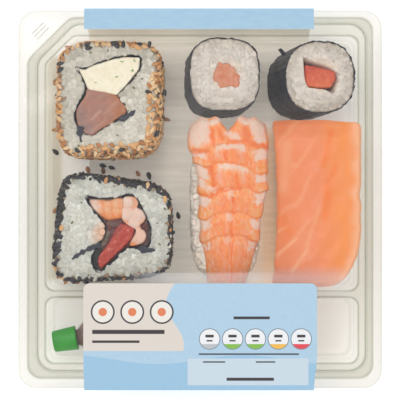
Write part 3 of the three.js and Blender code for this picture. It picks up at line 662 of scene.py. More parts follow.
def film_material():
    """The sealed film, with a painted pale glare, laid into its milky haze, where it bends down beside the
    label.
    """
    p = Paint("clear_film")
    x, y = p.axis("X"), p.axis("Y")
    start, left, right = FILM_GLARE_BAND["start"], FILM_GLARE_BAND["left"], FILM_GLARE_BAND["right"]
    top = p.math("ADD", y, p.times(p.math("POWER", p.math("DIVIDE", x, 60.0), 2.0), -1.2))
    soft = p.span(x, 12.0, 34.0, 0.0, 2.6)
    band = p.span(p.math("SUBTRACT", top, start), p.math("ADD", soft, 0.5), p.math("SUBTRACT", -0.4, soft))
    fade = p.span(y, start - 2, FILM_GLARE_BAND["end"], 1.0, 0.0)
    sides = p.times(p.span(x, left - 6, left + 6), p.span(x, right + 3, right - 3))
    # painted glare: a band of milky haze stands for the light that the bent film reflects
    veil = p.times(band, fade, sides, FILM_GLARE_BAND["milk"])
    milk = p.math("ADD", veil, p.span(p.noise(22.0, detail=2.0), 0.3, 0.7, 0.006, 0.014))
    waves = p.bump(p.noise(30.0, detail=1.0), 0.5)
    tint, haze = (0.995, 0.995, 0.99, 1), (0.86, 0.87, 0.93, 1)
    return p.clear(tint, milk, haze, shine=0.012, gloss=0.06, waves=waves)


def rice_material(name, colour, dark):
    """Cooked rice: faintly translucent grains, each a little lighter or darker than the next, at random and
    by painted shade.
    """
    p = Paint(name)
    tone = p.attribute("tone")
    grains = p.mix(p.span(tone, 0.35, 1.0, smooth=False), dark, colour)
    # painted shade: grains of the lowest tone turn brown, the shadow between sesame seeds
    grains = p.mix(p.span(tone, 0.3, 0.0), grains, seen(150, 118, 86))
    shade = (0.86 * colour[0], 0.84 * colour[1], 0.78 * colour[2], 1.0)
    cloudy = p.mix(p.span(p.noise(4.5, detail=2.0), 0.4, 0.75, 0.0, 0.6), grains, shade)
    bits = p.times(p.span(p.cells(3.2), 0.07, 0.12, 1.0, 0.0), p.span(p.noise(5.0), 0.5, 0.56), 0.6)
    stained = p.mix(p.attribute("stain"), p.mix(bits, cloudy, seen(140, 132, 96)), seen(238, 186, 154))
    return p.surface(base_color=stained, roughness=0.42, normal=p.bump(p.noise(0.5, detail=2.0), 0.04),
                     subsurface_weight=0.2, subsurface_radius=(1.0, 0.9, 0.7), subsurface_scale=0.0015,
                     specular_ior_level=0.3)


def seed_material():
    """Sesame seeds, black below half tone and toasted above it."""
    p = Paint("sesame")
    tone = p.attribute("tone")
    colour = p.ramp(tone, [
        (0.0, seen(52, 53, 62)), (0.40, seen(78, 74, 78)), (0.48, seen(120, 88, 66)),
        (0.60, seen(186, 128, 84)), (0.78, seen(226, 174, 120)), (1.0, seen(243, 212, 168)),
    ])
    worn = p.mix(p.span(p.noise(0.7), 0.45, 0.7, 0.0, 0.3), colour, seen(170, 116, 72))
    shown = p.mix(p.span(tone, 0.44, 0.5), colour, worn)
    return p.surface(base_color=shown, roughness=0.42, normal=p.bump(p.noise(0.35), 0.08))


def nori_material():
    """Seaweed sheet: nearly black with a greenish cast, fine fibres and a faint sheen."""
    p = Paint("nori")
    fibres = p.noise(0.9, detail=5.0, roughness=0.7, stretch=(1.0, 1.0, 2.5))
    colour = p.ramp(fibres, [(0.3, (0.010, 0.011, 0.022, 1)), (0.55, (0.022, 0.024, 0.042, 1)),
                             (0.8, (0.064, 0.062, 0.076, 1))])
    crinkle = p.bump(p.math("ADD", fibres, p.noise(2.6, detail=2.0)), 0.25)
    return p.surface(base_color=colour, roughness=0.45, normal=crinkle, specular_ior_level=0.4)


def flesh_material(name, base, pale, deep, light=None, size=1.6, stretch=(1.0, 1.0, 1.0), roughness=0.34,
                   relief=0.10):
    """Fish or prawn: marks named pale, deep and light lay its other colours over the first."""
    p = Paint(name)
    streaks = p.noise(size, detail=4.0, roughness=0.6, stretch=stretch)
    colour = p.mix(p.span(streaks, 0.35, 0.7, 0.0, 0.30), base, pale)
    colour = p.mix(p.span(streaks, 0.5, 0.25, 0.0, 0.25), colour, deep)
    for layer, over in (("pale", pale), ("deep", deep), ("light", light)):
        colour = p.mix(p.attribute(layer), colour, over) if over else colour
    return p.flesh(colour, roughness, p.bump(streaks, relief), (1.0, 0.45, 0.25))


def cream_cheese_material():
    """Soft cheese with a curdled surface and a few specks of chive."""
    p = Paint("cream_cheese")
    chosen = p.times(p.span(p.cells(3.0), 0.13, 0.2, 1.0, 0.0), p.span(p.noise(4.0), 0.46, 0.5))
    body = p.mix(p.span(p.noise(2.4), 0.35, 0.7, 0.0, 0.6), seen(250, 241, 219), seen(243, 229, 200))
    colour = p.mix(chosen, body, seen(150, 172, 118))
    lumps = p.math("ADD", p.noise(0.9, detail=4.0), p.times(p.cells(1.6), 0.6))
    return p.surface(base_color=colour, roughness=0.5, normal=p.bump(lumps, 0.16))


def pepper_material(name, base, pale, deep):
    """Red pepper: wet flesh with a fine grain, darker towards its skin."""
    p = Paint(name)
    wet = p.noise(0.8)
    colour = p.mix(p.span(wet, 0.35, 0.65, 0.0, 0.4), base, pale)
    for layer, over in (("pale", pale), ("deep", deep)):
        colour = p.mix(p.attribute(layer), colour, over)
    return p.surface(base_color=colour, roughness=0.25, normal=p.bump(wet, 0.12), coat_weight=0.2)


def bottle_material():
    p = Paint("clear_bottle")
    return clear_plastic(p, (0.93, 0.92, 0.92, 1), milk=0.06, milk_colour=(0.85, 0.82, 0.80, 1), gloss=0.2)


def sauce_material():
    p = Paint("soy_sauce")
    colour = p.ramp(p.noise(6.0), [(0.3, seen(98, 66, 60)), (0.7, seen(122, 82, 72))])
    return p.surface(base_color=colour, roughness=0.15, coat_weight=0.3)


def cap_material():
    p = Paint("green_plastic")
    colour = p.mix(p.span(p.noise(2.5), 0.3, 0.7), seen(44, 160, 50), seen(62, 172, 60))
    return p.surface(base_color=colour, roughness=0.38, normal=p.bump(p.noise(0.4), 0.03))


# ---- The sleeve's print: fields of colour and simple shapes, in millimetres on the label ----------

LABEL_BLUE = bare(186, 215, 236)
MOTTLED_BLUE = bare(177, 209, 233)
STRIP_BLUES = (bare(168, 203, 228), bare(176, 209, 231))
CREAM = bare(230, 221, 212)
DARK_BLUE = bare(164, 203, 231)
PALE_BLUE = bare(208, 225, 237)
INK = bare(72, 66, 68)
FOOT_WAVE = (62.0, 1.6, -57.6)  # period, sway and middle of the darker foot's edge
CREAM_WAVE = (30.0, 3.2, -9.0)
CREAM_LOW = -54.5
ICONS = dict(first=-35.0, y=-40.5, pitch=10.6, count=3)
ICON_RINGS = [(4.3, bare(72, 70, 74)), (3.7, bare(244, 240, 232)), (1.5, bare(233, 138, 98))]
NAME_BARS = [(-38.8, -48.4, 26.0, 1.5), (-38.8, -51.6, 17.0, 0.9)]
ROUNDELS = dict(first=3.4, y=-50.2, pitch=8.23, count=5)
ROUNDEL_RINGS = [(3.8, bare(96, 106, 118)), (3.55, bare(246, 247, 250))]
ROUNDEL_LEVEL = -52.0
ROUNDEL_COLOURS = [
    bare(196, 200, 205), bare(140, 196, 88), bare(140, 196, 88), bare(248, 196, 92), bare(236, 84, 96),
]
ROUNDEL_BARS = [(-1.5, 0.55, 3.0, 1.0), (-1.1, -0.9, 2.2, 0.55)]
PANEL = (-4.5, -66.8, 43.4, 9.6)
PANEL_BARS = [(1.0, -58.7, 8.0, 0.5), (20.0, -58.7, 7.0, 0.5), (9.5, -65.2, 17.0, 1.1)]
CAPTION_BARS = [(-0.5, -55.9, 36.0, 0.55), (12.0, -43.1, 13.0, 1.0)]


class Print(Paint):
    """A paint of flat colours laid over each other in simple printed shapes."""

    def lay(self, mask, colour):
        """Prints a colour over what is there already, wherever the mask is 1."""
        self.colour = self.mix(mask, self.colour, colour)

    def between(self, value, low, high, soft=0.12):
        """A mask that is 1 from the low to the high value."""
        rise = self.span(value, low - soft, low + soft)
        return self.times(rise, self.span(value, high + soft, high - soft))

    def box(self, x, y, left, low, width, height):
        return self.times(self.between(x, left, left + width), self.between(y, low, low + height))

    def bars(self, bars, x, y):
        """A mask that is 1 on any of the bars, each given by its left, lower edge, width and height."""
        whole = 0.0
        for bar in bars:
            whole = self.math("MAXIMUM", whole, self.box(x, y, *bar))
        return whole

    def under(self, value, line):
        """A mask that is 1 where a value is less than a line."""
        return self.span(self.math("SUBTRACT", line, value), -0.1, 0.1)

    def wave(self, along, period, sway, middle):
        """A line that sways to both sides of its middle."""
        swing = self.math("SINE", self.times(along, TURN / period))
        return self.math("ADD", self.times(swing, sway), middle)

    def row(self, x, y, cells):
        """A row of equal cells: x and y from the middle of the nearest, and a mask of the row."""
        first, pitch = cells["first"], cells["pitch"]
        half = pitch / 2
        local = self.math("WRAP", self.math("SUBTRACT", x, first), half, -half)
        within = self.between(x, first - half, first + (cells["count"] - 0.5) * pitch, soft=0.01)
        return local, self.math("SUBTRACT", y, cells["y"]), within

    def disc(self, x, y, within, radius):
        squares = self.math("ADD", self.times(x, x), self.times(y, y))
        return self.times(self.span(self.math("SQRT", squares), radius + 0.1, radius - 0.1), within)


def printed_card():
    """The sleeve's outer side: blue board with its print on the label, all in flat fields."""
    p = Print("printed_card")
    x, y = p.axis("X"), p.axis("Y")
    p.colour = p.mix(p.span(p.noise(1.1), 0.35, 0.7, 0.0, 0.55), LABEL_BLUE, MOTTLED_BLUE)
    p.lay(p.under(y, p.wave(x, *FOOT_WAVE)), DARK_BLUE)
    p.lay(p.times(p.under(x, p.wave(y, *CREAM_WAVE)), p.between(y, CREAM_LOW, 0.0)), CREAM)
    p.lay(p.box(x, y, *PANEL), PALE_BLUE)
    icon, roundel = p.row(x, y, ICONS), p.row(x, y, ROUNDELS)
    for radius, colour in ICON_RINGS:
        p.lay(p.disc(*icon, radius), colour)
    for radius, colour in ROUNDEL_RINGS:
        inner = p.disc(*roundel, radius)
        p.lay(inner, colour)
    count, pitch = ROUNDELS["count"], ROUNDELS["pitch"]
    cell = p.math("DIVIDE", p.math("SUBTRACT", x, ROUNDELS["first"] - pitch / 2), count * pitch)
    lights = p.ramp(cell, [(i / count, colour) for i, colour in enumerate(ROUNDEL_COLOURS)], steps=True)
    p.lay(p.times(inner, p.span(y, ROUNDEL_LEVEL + 0.08, ROUNDEL_LEVEL - 0.08)), lights)
    p.lay(p.times(inner, p.bars(ROUNDEL_BARS, *roundel[:2])), INK)
    p.lay(p.bars(NAME_BARS + PANEL_BARS + CAPTION_BARS, x, y), INK)
    on_top = p.times(p.span(p.axis("Z"), 28.6, 28.9), p.span(y, -20.0, -21.0))
    plain = p.mix(p.span(p.noise(1.6, stretch=(3.0, 1.0, 1.0)), 0.3, 0.7), *STRIP_BLUES)
    return p.surface(base_color=p.mix(on_top, plain, p.colour), roughness=0.55,
                     normal=p.bump(p.noise(0.35, detail=2.0), 0.03), specular_ior_level=0.25)


def card_back():
    """The sleeve's unprinted side: grey board with faint lines across it, and a painted glow that lifts the
    shade on it.
    """
    p = Paint("card_back")
    lines = p.noise(1.5, stretch=(14.0, 1.0, 1.0))
    colour = p.mix(p.span(lines, 0.3, 0.7), bare(212, 205, 194), bare(234, 228, 217))
    # painted glow, stronger towards the back panel and beside the food, where shade falls
    glow = p.span(p.axis("Y"), 46.0, 60.0, PAINTED_CARD_GLOW["floor"], PAINTED_CARD_GLOW["back"])
    light = PAINTED_GLOW_COLOUR
    for *place, strength, warm_reflection in PAINTED_FOOD_GLOW:
        share = p.patch(*place)
        glow = p.math("ADD", glow, p.times(share, strength))
        light = p.mix(p.times(share, warm_reflection), light, WARM_PAINTED_REFLECTION)
    return p.surface(base_color=colour, roughness=0.8, normal=p.bump(p.noise(0.3), 0.03),
                     emission_color=light, emission_strength=glow)


# ---- Tray, film and sleeve ----------------------------------------------------------------------


# How the sheet bends at each edge: pairs of a shift inwards and a rise, in millimetres
LIP_BEND = [(0.0, -0.42), (0.06, -0.15), (0.3, 0.0)]
STEP_BEND = [(-1.0, 0.0), (-0.45, -0.07), (-0.12, -0.35), (0.0, -0.9)]
FOOT_BEND = [(0.0, 0.9), (0.12, 0.35), (0.45, 0.07), (1.0, 0.0)]
WELL_BEND = [(-0.9, 0.0), (-0.45, -0.08), (-0.12, -0.35), (0.0, -0.9)]
BEAD_BEND = [(0.0, 0.35), (0.08, 0.1), (WALL_BEAD["inset"] - 0.08, -0.1), (WALL_BEAD["inset"], -0.35)]


def well_rings(box):
    """The rings of a well's wall, from the shelf round its rim down to its floor."""
    stops = [(inset, SHELF + z) for inset, z in WELL_BEND]
    stops += [(inset, WALL_BEAD["height"] + z) for inset, z in BEAD_BEND]
    for turn in np.linspace(0, math.pi / 2, 5):
        inset = WALL_BEAD["inset"] + FLOOR_RADIUS * (1 - math.cos(turn))
        stops.append((inset, FLOOR + FLOOR_RADIUS * (1 - math.sin(turn))))
    slope = WALL_DRAFT / (SHELF - FLOOR)
    return [at_height(tray_outline(box, inset + slope * (SHELF - z)), z) for inset, z in stops]


def make_tray():
    """The thermoformed sheet: flange, step and shelf round two wells, with every bend rounded."""
    bends = [
        (FLANGE_BOX, LIP_BEND, FLANGE), (STEP_TOP_BOX, STEP_BEND, FLANGE), (STEP_FOOT_BOX, FOOT_BEND, SHELF),
    ]
    rings = [at_height(tray_outline(box, inset), base + z) for box, bend, base in bends for inset, z in bend]
    wells = [well_rings(MAIN_BOX), well_rings(FRONT_BOX)]
    parts = [lofted(rings), fill(rings[-1][:, :2], [well[0][:, :2] for well in wells], z=SHELF)]
    for well in wells:
        foot = well[-1][:, :2]
        points, faces = fill(foot, spacing=2.5, z=FLOOR)
        points[:, 2] += 0.05 * smooth_step(0, 2, edge_distance(points[:, :2], foot)) * rough(points, 9.0)
        parts += [lofted(well), (points, faces)]
    tray = piece("tray_sheet", *join(parts), [tray_paint], "clear_tray", ["tray"], weld=0.01)
    thicken(tray, SHEET, -1.0)


def make_peel_mark():
    """Fine raised ribs across the flange's back left corner, where the film is peeled."""
    count = 14
    along = np.array([1.0, 1.0]) / math.sqrt(2)
    across = np.array([-along[1], along[0]])
    fade = 1 - np.abs(np.linspace(-1, 1, count)) ** 6
    parts = []
    for shift in (-1.3, 0.0, 1.3):
        middle = np.array(PEEL_MARK["centre"]) + across * shift
        reach = along * PEEL_MARK["length"] / 2
        line = even(np.array([middle - reach, middle + reach]), count, closed=False)
        rows = []
        for side, rise in ((-1, -0.02), (-0.6, 0.06), (0, 0.1), (0.6, 0.06), (1, -0.02), (0, -0.1)):
            height = FLANGE + rise * (fade if rise > 0 else np.ones(count))
            rows.append(np.column_stack([line + across * side * PEEL_MARK["width"] / 4, height]))
        points, faces = lofted([*rows, rows[0]], closed=False)
        faces += [tuple(count * row + end for row in range(len(rows))) for end in (0, count - 1)]
        parts.append((points, faces))
    piece("tray_peel_ribs", *join(parts), [tray_paint], "clear_tray")


def make_film():
    """The film, sealed on the flange and very slightly slack between its edges."""
    outline = tray_outline(FLANGE_BOX, 0.4)
    points, faces = fill(even(outline, 200), spacing=3.0, z=FILM_BASE + 0.12)
    points[:, 2] += 0.05 * smooth_step(2, 14, edge_distance(points[:, :2], outline)) * rough(points, 30.0)
    film = piece("film_sheet", points, faces, [film_material()], "clear_film", ["film_lid"])
    thicken(film, 0.05, 0.0)


def folded_path(corners, radius, step):
    """A path of straight runs with a rounded fold at each corner between them."""
    corners = np.asarray(corners, float)
    path = [corners[0]]
    for before, corner, after in zip(corners, corners[1:], corners[2:]):
        back = (before - corner) / np.linalg.norm(before - corner)
        on = (after - corner) / np.linalg.norm(after - corner)
        start, end = corner + back * radius, corner + on * radius
        for t in np.linspace(0, 1, 7):
            path.append((1 - t) ** 2 * start + 2 * t * (1 - t) * corner + t**2 * end)
    path.append(corners[-1])
    fine = [path[0]]
    for a, b in zip(path, path[1:]):
        count = max(int(np.linalg.norm(b - a) / step), 1)
        fine += [a + (b - a) * k / count for k in range(1, count + 1)]
    return np.array(fine)


def sleeve_sides(path):
    """The sleeve's left and right edges at each point of its run, with the label's flare and corners."""
    left = np.full(len(path), SLEEVE_CENTRE - SLEEVE_WIDTH / 2)
    right = left + SLEEVE_WIDTH
    label = (path[:, 1] > SLEEVE_TOP - 0.5) & (path[:, 0] < 0)
    from_fold = path[:, 0] + SLEEVE_REACH
    flare = smooth_step(0, LABEL_FLARE, from_fold) * label
    left += flare * (-LABEL_WIDTH / 2 - left)
    right += flare * (LABEL_WIDTH / 2 - right)
    past = np.clip((path[:, 0] - (LABEL_EDGE - LABEL_RADIUS)) / LABEL_RADIUS, 0, 1) * label
    trim = LABEL_RADIUS * (1 - np.sqrt(1 - past**2))
    return left + trim, right - trim


def make_sleeve():
    """The folded card: outer printed side, inner board side and cut edges, as one closed strip."""
    straight = LABEL_EDGE - LABEL_RADIUS
    path = folded_path([
        (STRIP_EDGE, SLEEVE_TOP), (SLEEVE_REACH, SLEEVE_TOP), (SLEEVE_FOOT, 0.0), (-SLEEVE_FOOT, 0.0),
        (-SLEEVE_REACH, SLEEVE_TOP), (straight, SLEEVE_TOP),
    ], FOLD_RADIUS, 2.0)
    ends = straight + LABEL_RADIUS * np.sin(np.linspace(0, math.pi / 2, 12)[1:])
    path = np.vstack([path, np.column_stack([ends, np.full(len(ends), SLEEVE_TOP)])])
    inward = -side_normals(path, closed=False) * CARD
    half = len(path) // 2
    if inward[half] @ (np.array([0.0, 15.0]) - path[half]) < 0:
        inward = -inward
    columns = 44
    shares = np.linspace(0, 1, columns)
    x = np.concatenate([left + (right - left) * shares for left, right in zip(*sleeve_sides(path))])
    outer, inner = (np.column_stack([x, np.repeat(line, columns, axis=0)]) for line in (path, path + inward))
    points, faces = closed_slab(outer, inner, columns)
    sleeve = piece("card_sleeve", points, faces, [printed_card(), card_back()], "card", ["sleeve"], sharp=40,
                   weld=0.0)
    unprinted = np.ones(len(faces), np.int32)
    unprinted[: 2 * (len(path) - 1) * (columns - 1) : 2] = 0
    sleeve.data.polygons.foreach_set("material_index", unprinted)
    turn_outwards(sleeve.data, 0.0)


# ---- Scattered grains and seeds -----------------------------------------------------------------


def pip(around, rings, profile, bend):
    """A closed pip of unit length, width and thickness, its ends rounded by the profile."""
    turns = circle(around)
    loops = []
    for x in -np.cos(np.linspace(0, math.pi, rings + 2))[1:-1] / 2:
        reach = profile(x)
        across, up = 0.5 * reach * np.cos(turns), 0.5 * reach * np.sin(turns)
        loops.append(np.column_stack([np.full(around, x), across + bend * (x * x - 0.25), up]))
    points, faces = lofted(loops)
    first, last = len(points), len(points) + 1
    end = (rings - 1) * around
    faces += [(first, (i + 1) % around, i) for i in range(around)]
    faces += [(last, end + i, end + (i + 1) % around) for i in range(around)]
    return np.vstack([points, [[-0.5, 0.0, 0.0], [0.5, 0.0, 0.0]]]), faces


def grain_profile(x):
    return (1 - abs(2 * x) ** 2.6) ** 0.5


def seed_profile(x):
    """Round at one end and drawn to a point at the other."""
    return (1 - (2 * x) ** 2) ** 0.62 * (1.0 - 0.62 * (x + 0.12))


def spread_out(points, distance):
    """The indices of points that keep this distance from those chosen before them."""
    chosen = []
    kept_points = np.empty_like(points)
    for i, point in enumerate(points):
        count = len(chosen)
        if not count or np.min(np.sum((kept_points[:count] - point) ** 2, axis=1)) >= distance**2:
            kept_points[count] = point
            chosen.append(i)
    return np.array(chosen, int)


def upright(count, way=1.0):
    """Normals that all point up, or down."""
    return np.tile([0.0, 0.0, way], (count, 1))


def frames(normals, spin, tilt):
    """For each normal, the axes of a pip that lies on it: along, across and up."""
    helper = np.where(np.abs(normals[:, 2:3]) > 0.9, [[1.0, 0.0, 0.0]], [[0.0, 0.0, 1.0]])
    side = np.cross(helper, normals)
    side /= np.linalg.norm(side, axis=1, keepdims=True)
    other = np.cross(normals, side)
    flat = np.cos(spin)[:, None] * side + np.sin(spin)[:, None] * other
    along = np.cos(tilt)[:, None] * flat + np.sin(tilt)[:, None] * normals
    across = np.cross(normals, flat)
    up = np.cross(along, across)
    return np.stack([along, across, up], axis=1)


def scattered(shapes, centres, axes, sizes):
    """All the pips as one lot of points and faces, each a copy of one of the shapes in turn."""
    lots, faces, start = [], [], 0
    for i, (centre, axis, size) in enumerate(zip(centres, axes, sizes)):
        points, some_faces = shapes[i % len(shapes)]
        lots.append((points * size) @ axis + centre)
        faces += [tuple(k + start for k in face) for face in some_faces]
        start += len(points)
    return np.vstack(lots), faces, len(shapes[0][0])


GRAIN_SHAPES = [pip(8, 6, grain_profile, bend) for bend in (-0.5, -0.35, -0.2, 0.0, 0.15, 0.3, 0.45, 0.6)]
SEED_SHAPES = [pip(8, 6, seed_profile, bend) for bend in (-0.15, 0.0, 0.1, 0.2)]


def add_grains(name, spots, normals, material, slot, seed, shape, shaded_under_seeds=None, shade=0.0, vary=0.14):
    """Rice grains on these spots, pressed into the core; their shape trims them flat at the cut faces.

    Grains shaded under seeds lie under the seeds and show only as a painted brown shade that stands for the
    shadow between them; shade darkens the others with painted shade.
    """
    rng = np.random.default_rng(seed)
    count = len(spots)
    lie = np.where(normals[:, 2] > 0.98, CUT_TILT, 0.22)
    axes = frames(normals, rng.uniform(0, math.pi, count), rng.normal(0, 1, count) * lie)
    length = GRAIN["length"] * rng.uniform(0.82, 1.08, count)
    width = GRAIN["width"] * rng.uniform(0.88, 1.1, count)
    sizes = np.column_stack([length, width, width * rng.uniform(0.82, 0.98, count)])
    centres = spots - normals * (GRAIN["width"] * rng.uniform(0.32, 0.52, count))[:, None]
    points, faces, per = scattered(GRAIN_SHAPES, centres, axes, sizes)
    grains = piece(name, shape(points), faces, [material], slot, weld=0)
    tones = np.maximum(np.clip(rng.normal(0.78, vary, count), 0.35, 1) - shade, 0.3)
    if shaded_under_seeds is not None:
        tones = np.where(shaded_under_seeds, 0.06, tones)
    mark(grains, tone=np.repeat(tones, per))
    return grains


def add_seeds(name, spots, normals, tones, seed, sink=0.15, tilt=0.32, shape=None):
    rng = np.random.default_rng(seed)
    count = len(spots)
    axes = frames(normals, rng.uniform(0, TURN, count), rng.normal(0, tilt, count))
    size = rng.uniform(0.85, 1.1, count)[:, None]
    sizes = size * np.array([[SEED["length"], SEED["width"], SEED["thickness"]]])
    centres = spots - normals * rng.uniform(sink - 0.3, sink + 0.2, count)[:, None]
    points, faces, per = scattered(SEED_SHAPES, centres, axes, sizes)
    seeds = piece(name, shape(points) if shape else points, faces, [seed_paint], "rice", weld=0)
    mark(seeds, tone=np.repeat(tones, per))


# ---- Rolls --------------------------------------------------------------------------------------


def superellipse(angles, power):
    """How far a rounded square of this power reaches at these angles."""
    return (np.abs(np.cos(angles)) ** power + np.abs(np.sin(angles)) ** power) ** (-1 / power)


def roll_point(roll, angle):
    """Outline points of a roll at these angles from its centre, as in the part's source."""
    reach = superellipse(angle, roll["power"])
    u, v = reach * np.cos(angle), reach * np.sin(angle)
    weights = [(1 + u) * (1 + v), (1 - u) * (1 + v), (1 - u) * (1 - v), (1 + u) * (1 - v)]
    point = sum(weight[:, None] * np.array([corner]) / 4 for weight, corner in zip(weights, roll["corners"]))
    if math.isfinite(roll["chamfer"]):
        overhang = np.maximum((point[:, 1] - point[:, 0]) / math.sqrt(2) - roll["chamfer"], 0)
        point *= (roll["chamfer"] / (roll["chamfer"] + overhang))[:, None]
    return point


def roll_outline(roll, count=120, shrink=0.0):
    loop = even(roll_point(roll, circle(count)), count)
    return offset_loop(loop, -shrink) if shrink else loop


def place_of(roll):
    """Where a roll stands: its centre, on the tray's floor."""
    return np.array([*roll["centre"], FOOD_BASE])


def lean_over(roll, points):
    """Leans a piece of a small maki over the floor, as in the part's source."""
    rise = points[:, 2] / roll["height"]
    tip = points[:, :2] @ np.array(roll["slope"])
    out = points + place_of(roll)
    out[:, :2] += np.array(roll["lean"]) * (rise - 1)[:, None]
    out[:, 2] += tip * rise
    return out


def side_surface(outline, normals, height, rims, index, run):
    """Points and normals on a roll's side at these outline places, this far up and over its rim."""
    rim = rims[index]
    straight = height - rim
    turn = np.clip((run - straight) / rim, 0, math.pi / 2)
    beyond = np.maximum(run - straight - rim * math.pi / 2, 0)
    inset = rim * (1 - np.cos(turn)) + beyond
    out = normals[index]
    z = np.minimum(run, straight + rim * np.sin(turn))
    points = np.column_stack([outline[index] - out * inset[:, None], z])
    return points, np.column_stack([out * np.cos(turn)[:, None], np.sin(turn)])


def rounded_over(outline, rims, level, shares):
    """Rings that round an outline over at its rim, up to this level."""
    normals = side_normals(outline)
    rings = []
    for share in shares:
        turn = share * math.pi / 2
        inset = rims * (1 - math.cos(turn))
        z = level - rims * (1 - math.sin(turn))
        rings.append(np.column_stack([outline - normals * inset[:, None], z]))
    return rings


def pressed_rice(rings, hollow, spacing, relief, size):
    """Rice between stacked rings, with the fillings' hollow through it and an uneven cut face."""
    outline, level = rings[-1][:, :2], rings[-1][0, 2]
    foot = rings[0][0, 2]
    top, top_faces = fill(outline, [hollow], spacing=spacing)
    top[:, 2] = level + relief * rough(top, size)
    for loop in (outline, hollow):
        top[edge_distance(top[:, :2], loop) < 1e-3, 2] = level
    bottom = fill(rings[0][:, :2], [hollow], z=foot)
    wall = lofted([at_height(hollow, foot), at_height(hollow, level)])
    return join([lofted(rings), (top, top_faces), bottom, wall])


def make_roll_core(name, roll, nori, rims, material, replaces):
    """The pressed rice under the grains, rounded over at its rim."""
    outline = roll_outline(roll, shrink=0.9)
    rings = [at_height(offset_loop(outline, -1.0), 0.15), at_height(outline, 1.2)]
    rings += rounded_over(outline, rims, roll["height"] - CORE_DEPTH, (0.0, 0.3, 0.6, 0.85, 1.0))
    hollow = offset_loop(smooth_loop(nori, 110), NORI / 2 + 0.05) - np.array(roll["centre"])
    points, faces = pressed_rice(rings, hollow, 1.4, 0.1, 2.2)
    core = piece(name, points + place_of(roll), faces, [material], "rice", replaces, weld=0.01)
    # a lower tone than the grains: painted shade where the core shows between them
    mark(core, tone=0.6)
    return core


def roll_rims(roll, base, swells):
    """How far the rim rounds over at each outline place: a base and more towards some directions."""
    outline = roll_outline(roll)
    directions = np.arctan2(outline[:, 1], outline[:, 0])
    whole = np.full(len(outline), base)
    for towards, extra, sharpness in swells:
        facing = np.cos(directions - math.radians(towards))
        whole += extra * smooth_step(sharpness, 0.6 + 0.4 * sharpness, facing)
    return whole


def rice_overlap(loop, dips):
    """How far the rice lies over the seaweed at each point of its loop, from 0 to 1."""
    whole = np.clip(3.0 * (rough(at_height(loop, 3.0), 1.5) - 0.08), 0, 1)
    for x, y, reach in dips:
        whole = np.maximum(whole, smooth_step(reach, 0.6 * reach, np.hypot(loop[:, 0] - x, loop[:, 1] - y)))
    return whole


def make_roll_grains(name, roll, nori, rims, paint, seed, dips):
    """Grains over a roll's side, its cut face and its foot; here and there they lie over the seaweed."""
    rng = np.random.default_rng(seed)
    height = roll["height"]
    outline = roll_outline(roll, shrink=0.45)
    normals = side_normals(outline)
    tries = 9000
    index = rng.integers(0, len(outline), tries)
    run = rng.uniform(0.6, height + 2.5, tries)
    side, side_normal = side_surface(outline, normals, height - 0.35, rims, index, run)
    hollow = smooth_loop(nori, 220) - np.array(roll["centre"])
    flat = rng.uniform(outline.min(0), outline.max(0), (6000, 2))
    flat = flat[between_loops(flat, [outline - normals * (rims[:, None] + 0.4), hollow])]
    flat = flat[edge_distance(flat, hollow) > 0.5]
    top = at_height(flat, height + 0.5)
    foot = at_height(flat[: len(flat) // 2], 0.7)
    spots, directions = [], []
    lots = [(side, side_normal, 1.95), (top, upright(len(top)), 1.5), (foot, upright(len(foot), -1.0), 2.6)]
    for points, normal, distance in lots:
        keep = spread_out(points, distance)
        spots.append(points[keep])
        directions.append(normal[keep])
    on_side = np.arange(sum(len(lot) for lot in spots)) < len(spots[0])
    spots, directions = np.vstack(spots), np.vstack(directions)
    spill = rice_overlap(hollow + np.array(roll["centre"]), dips)
    brim = hollow + side_normals(hollow) * (NORI / 2 - (NORI + 0.3) * spill)[:, None]

    def trimmed(points):
        cut = height - 0.1 + 0.12 * rough(points * [1.0, 1.0, 0.0], 3.0)
        points[:, 2] = np.clip(points[:, 2], 0.1, cut)
        return kept(points, brim, within=False) + place_of(roll)

    # painted shade: darker grains beside the seaweed and towards the rounded rim, with soft random patches
    shade = 0.3 * smooth_step(2.6, 0.4, edge_distance(spots[:, :2], hollow))
    shade += 0.35 * smooth_step(5.0, 1.5, edge_distance(spots[:, :2], outline))
    shade += 0.25 * rough(spots, 5.0, seed)
    return add_grains(name, spots, directions, paint, "rice", seed, trimmed,
                      shaded_under_seeds=on_side & (directions[:, 2] < 0.75), shade=shade)


def make_roll_seeds(name, roll, rims, black_share, distance, over, seed):
    """The coat of sesame seeds on a roll's side, rolled over its rim by this much at each place."""
    rng = np.random.default_rng(seed)
    outline = roll_outline(roll)
    normals = side_normals(outline)
    tries = 14000
    index = rng.integers(0, len(outline), tries)
    top = roll["height"] + rims[index] * (math.pi / 2 - 1) + over[index]
    run = rng.uniform(0.9, top, tries)
    spots, directions = side_surface(outline, normals, roll["height"], rims, index, run)
    keep = spread_out(spots, distance)
    spots, directions = spots[keep], directions[keep]
    black = rng.random(len(spots)) < black_share
    tones = np.where(black, rng.uniform(0.0, 0.4, len(spots)), rng.uniform(0.56, 1.0, len(spots)))

    def placed(points):
        points[:, 2] = np.maximum(points[:, 2], 0.05)
        return points + place_of(roll)

    add_seeds(name, spots, directions, tones, seed + 1, shape=placed)


